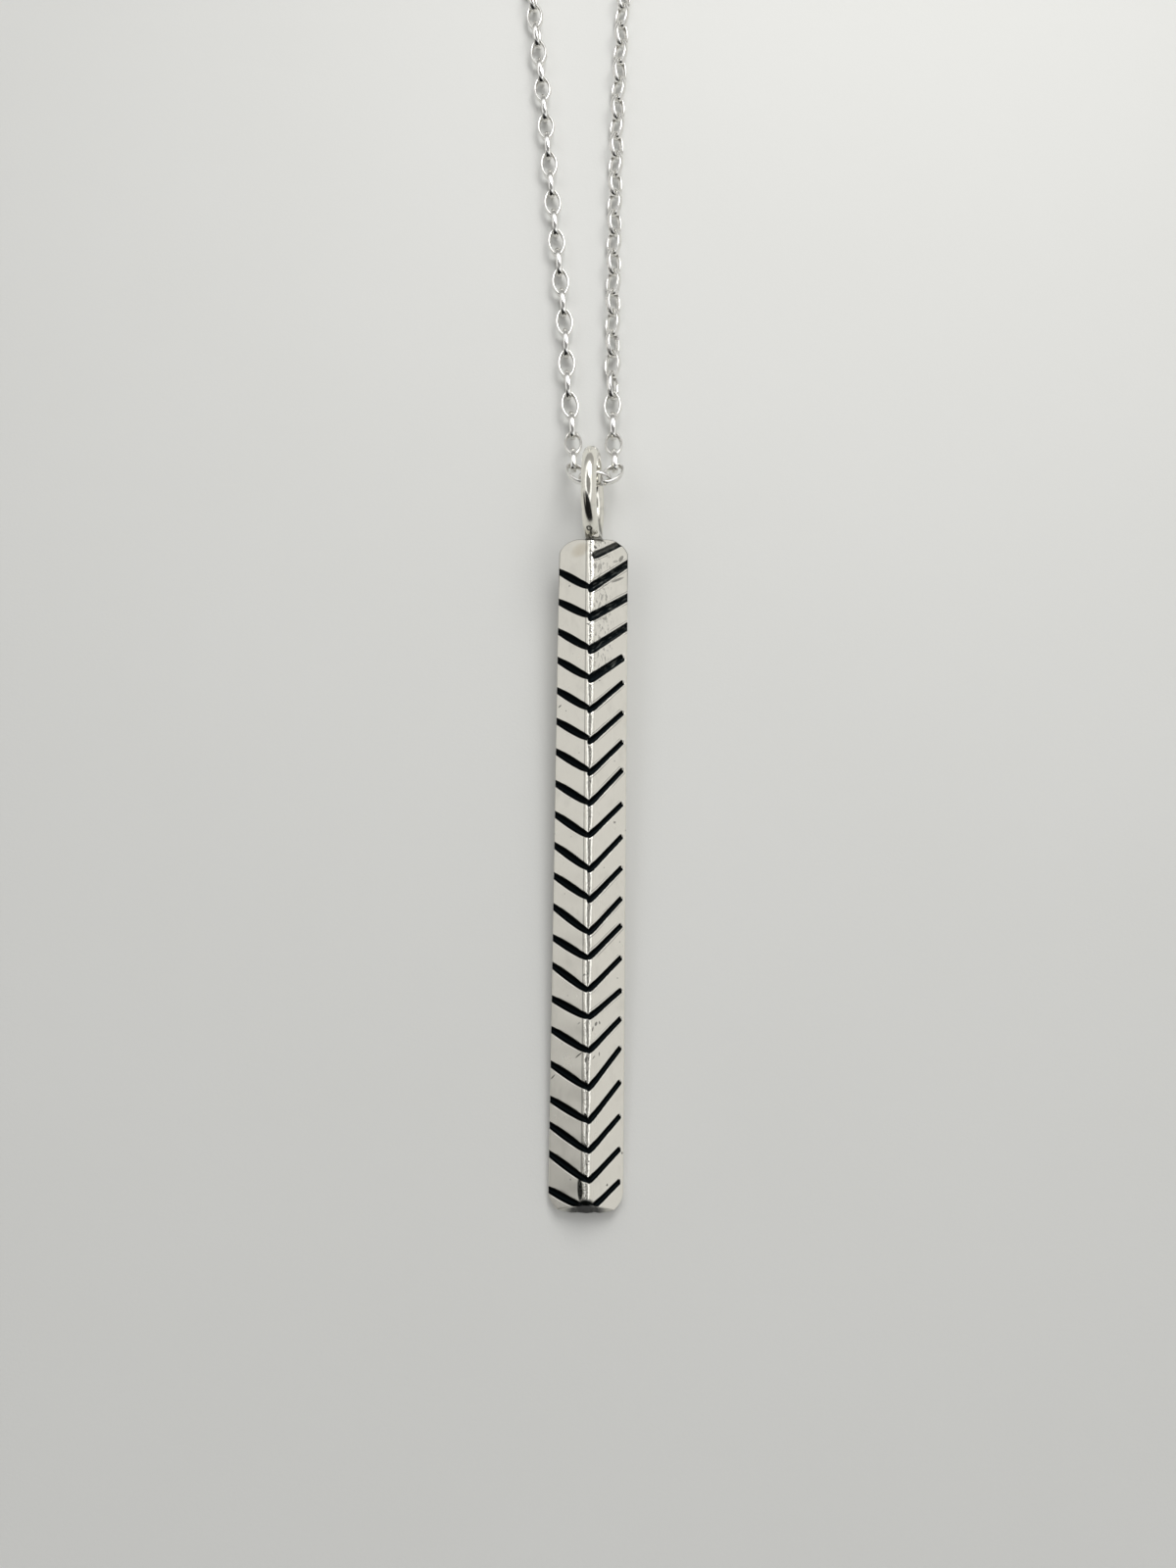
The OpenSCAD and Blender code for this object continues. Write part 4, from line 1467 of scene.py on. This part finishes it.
@dataclass(frozen=True)
class Studio:
    """Camera, soft light and room. The camera's places are in the bar's own millimetres."""

    lens: float = 26.0
    sensor: float = 36.0
    clip_start: float = 0.005
    eye: Tuple[float, float, float] = (-0.2, 12.52, 79.98)
    target: Tuple[float, float, float] = (-0.2, 29.06, 1.51)
    roll: float = 0.72
    lamp_place: Tuple[float, float, float] = (0.035, 0.012, 0.12)
    lamp_target: Tuple[float, float, float] = (0, -0.09, 0)
    lamp_side: float = 0.09
    lamp_watts: float = 0.115
    lamp_colour: Colour = (1.0, 0.995, 0.985)
    zenith: Tuple[float, float] = (-0.03, 0.1)
    plain: float = 0.62
    ceiling: Colour = (0.98, 0.99, 1.0)
    wall: Colour = (1.0, 0.99, 0.965)

    def camera(self, shift: np.ndarray) -> None:
        """Makes the camera at the photo's viewing angle.

        Args:
            shift: Where the bar's own frame starts, in millimetres.
        """
        eye, target = (np.asarray(k) + shift for k in (self.eye, self.target))
        look = (target - eye) / np.linalg.norm(target - eye)
        right = np.cross(look, [0, 0, 1])
        right /= np.linalg.norm(right)
        up = np.cross(right, look)
        c, s = math.cos(math.radians(self.roll)), math.sin(math.radians(self.roll))
        axes = np.stack([right * c + up * s, up * c - right * s, -look], axis=1)
        data = bpy.data.cameras.new("photo_camera")
        data.lens, data.sensor_width, data.sensor_fit = self.lens, self.sensor, "AUTO"
        data.clip_start = self.clip_start
        camera = bpy.data.objects.new("photo_camera", data)
        camera.matrix_world = Matrix.Translation(Vector(eye * MM)) @ Matrix(axes.tolist()).to_4x4()
        bpy.context.scene.collection.objects.link(camera)
        bpy.context.scene.camera = camera

    def lamp(self) -> None:
        """Makes a soft square light that looks at the object."""
        data = bpy.data.lights.new("softbox", "AREA")
        data.size, data.energy, data.color = self.lamp_side, self.lamp_watts, self.lamp_colour
        lamp = bpy.data.objects.new("softbox", data)
        lamp.location = self.lamp_place
        lamp.visible_camera = False
        way = Vector(self.lamp_target) - Vector(self.lamp_place)
        lamp.rotation_euler = way.to_track_quat("-Z", "Y").to_euler()
        bpy.context.scene.collection.objects.link(lamp)

    def room(self) -> None:
        """Lights the scene from a pale room.

        The ceiling is bright in a wide ring round the zenith and grey inside it. Low down the
        room is dark in front and dim behind. The dark part only lights and mirrors: where the
        room itself is seen, it is plain.
        """
        s = Sheet(bpy.data.worlds.new("room"))
        x, y, z = map(s.axis, "XYZ")
        wide, deep = (x - self.zenith[0]) / 0.7, (y - self.zenith[1]) / 0.7
        out = (wide * wide + deep * deep).maths("SQRT")
        up = z.ramp(0.0, 0.25)
        glow = out.ramp(0.66, 0.74) * (1 - out.ramp(1.0, 1.14)) * up
        inside = (1 - out.ramp(0.6, 0.72)) * up
        front = 1 - (y + x * 0.435).ramp(-0.5, -0.44)
        front = front * x.ramp(-0.9, -0.72).most(1 - z.ramp(0.3, 0.42)) * z.ramp(-0.02, 0.08)
        behind = y.ramp(0.55, 0.85) * (1 - z.ramp(0.35, 0.55))
        sides = abs(x).ramp(0.75, 0.9)
        light = (self.plain + glow * 0.68 - inside * 0.36 + sides * 0.06) * (1 - behind * 0.4)
        seen = s.value("Is Camera Ray", "ShaderNodeLightPath", {})
        light = light * (1 - front * (1 - seen) * 0.985)
        tint = s.mix(glow, self.wall, self.ceiling)
        back = s.node("ShaderNodeBackground", {"Color": tint, "Strength": light})
        s.node("ShaderNodeOutputWorld", {"Surface": back.outputs[0]})
        bpy.context.scene.world = s.owner

    def build(self, shift: np.ndarray) -> None:
        """Sets the whole studio up.

        Args:
            shift: Where the bar's own frame starts, in millimetres.
        """
        self.camera(shift)
        Paper().build()
        self.lamp()
        self.room()
        bpy.context.scene.view_settings.view_transform = "Standard"
        LOG.info("studio: lens %.0f mm, lamp %.3f W", self.lens, self.lamp_watts)


class Pendant:
    """Puts all pieces together and hands them to the frame."""

    def __init__(self) -> None:
        """Finds where the bar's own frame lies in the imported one."""
        self.bar = Bar(BarSize())
        self.bail = Bail(RingSize(), self.bar.size)
        self.chain = Chain(LinkSize())
        eye = next(m for m in frame["record"]["mounts"] if m["name"] == "bail_eye")
        self.tilt = turn(Axis.X, self.bail.tilt)
        centre = self.tilt @ self.bail.centre
        self.shift = np.asarray(eye["pos_m"]) / MM - centre
        self.hang = self.shift + np.array([0, centre[1] + self.bail.size.middle, 0])
        LOG.info("bar tilt %.3f, shift %s", self.bail.tilt, self.shift.round(3))

    @staticmethod
    def place(piece: bpy.types.Object, slot: Slot, material: bpy.types.Material, node: str) -> None:
        """Gives a piece its material and its place in the frame.

        Args:
            piece: The piece.
            slot: The record's slot; not used.
            material: Its material.
            node: The CAD node that it stands for.
        """
        piece.data.materials.append(material)
        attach(piece, "root")
        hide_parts(node)

    def build(self) -> None:
        """Builds every piece. The clasp stays as it is, in the links' silver."""
        solder_ring = self.tilt @ np.array(self.bail.size.stained_spot) + self.shift
        wire = WireSilver(solder_ring=tuple(solder_ring.tolist())).material()
        links = WireSilver(name="link_silver", bright=(0.84, 0.83, 0.8), rough=0.07).material()
        silver = BarSilver(crown=self.bar.size.crown).material()
        leaning, lying = (self.tilt, self.shift), (np.eye(3), self.hang)
        for name, shape, move, slot, material, node in (
            ("bar_body", self.bar.shape(), leaning, Slot.BAR, silver, "pendant_bar"),
            ("bail_ring", self.bail.ring(), leaning, Slot.BAR, wire, "pendant_bar"),
            ("ring_solder", self.bail.solder(), leaning, Slot.BAR, wire, "pendant_bar"),
            ("front_chain_links", self.chain.front(), lying, Slot.CHAIN, links, "chain_front"),
            ("back_chain_links", self.chain.back(), lying, Slot.CHAIN, links, "chain_back"),
        ):
            self.place(shape.moved(*move).build(name), slot, material, node)
        clasp = bpy.data.objects["clasp"]
        clasp.data.materials.clear()
        clasp.data.materials.append(links)


def main() -> None:
    """Builds the scene."""
    logging.basicConfig(level=logging.INFO, format="%(name)s: %(message)s")
    pendant = Pendant()
    Studio().build(pendant.shift)
    pendant.build()


if __name__ == "__main__":
    main()
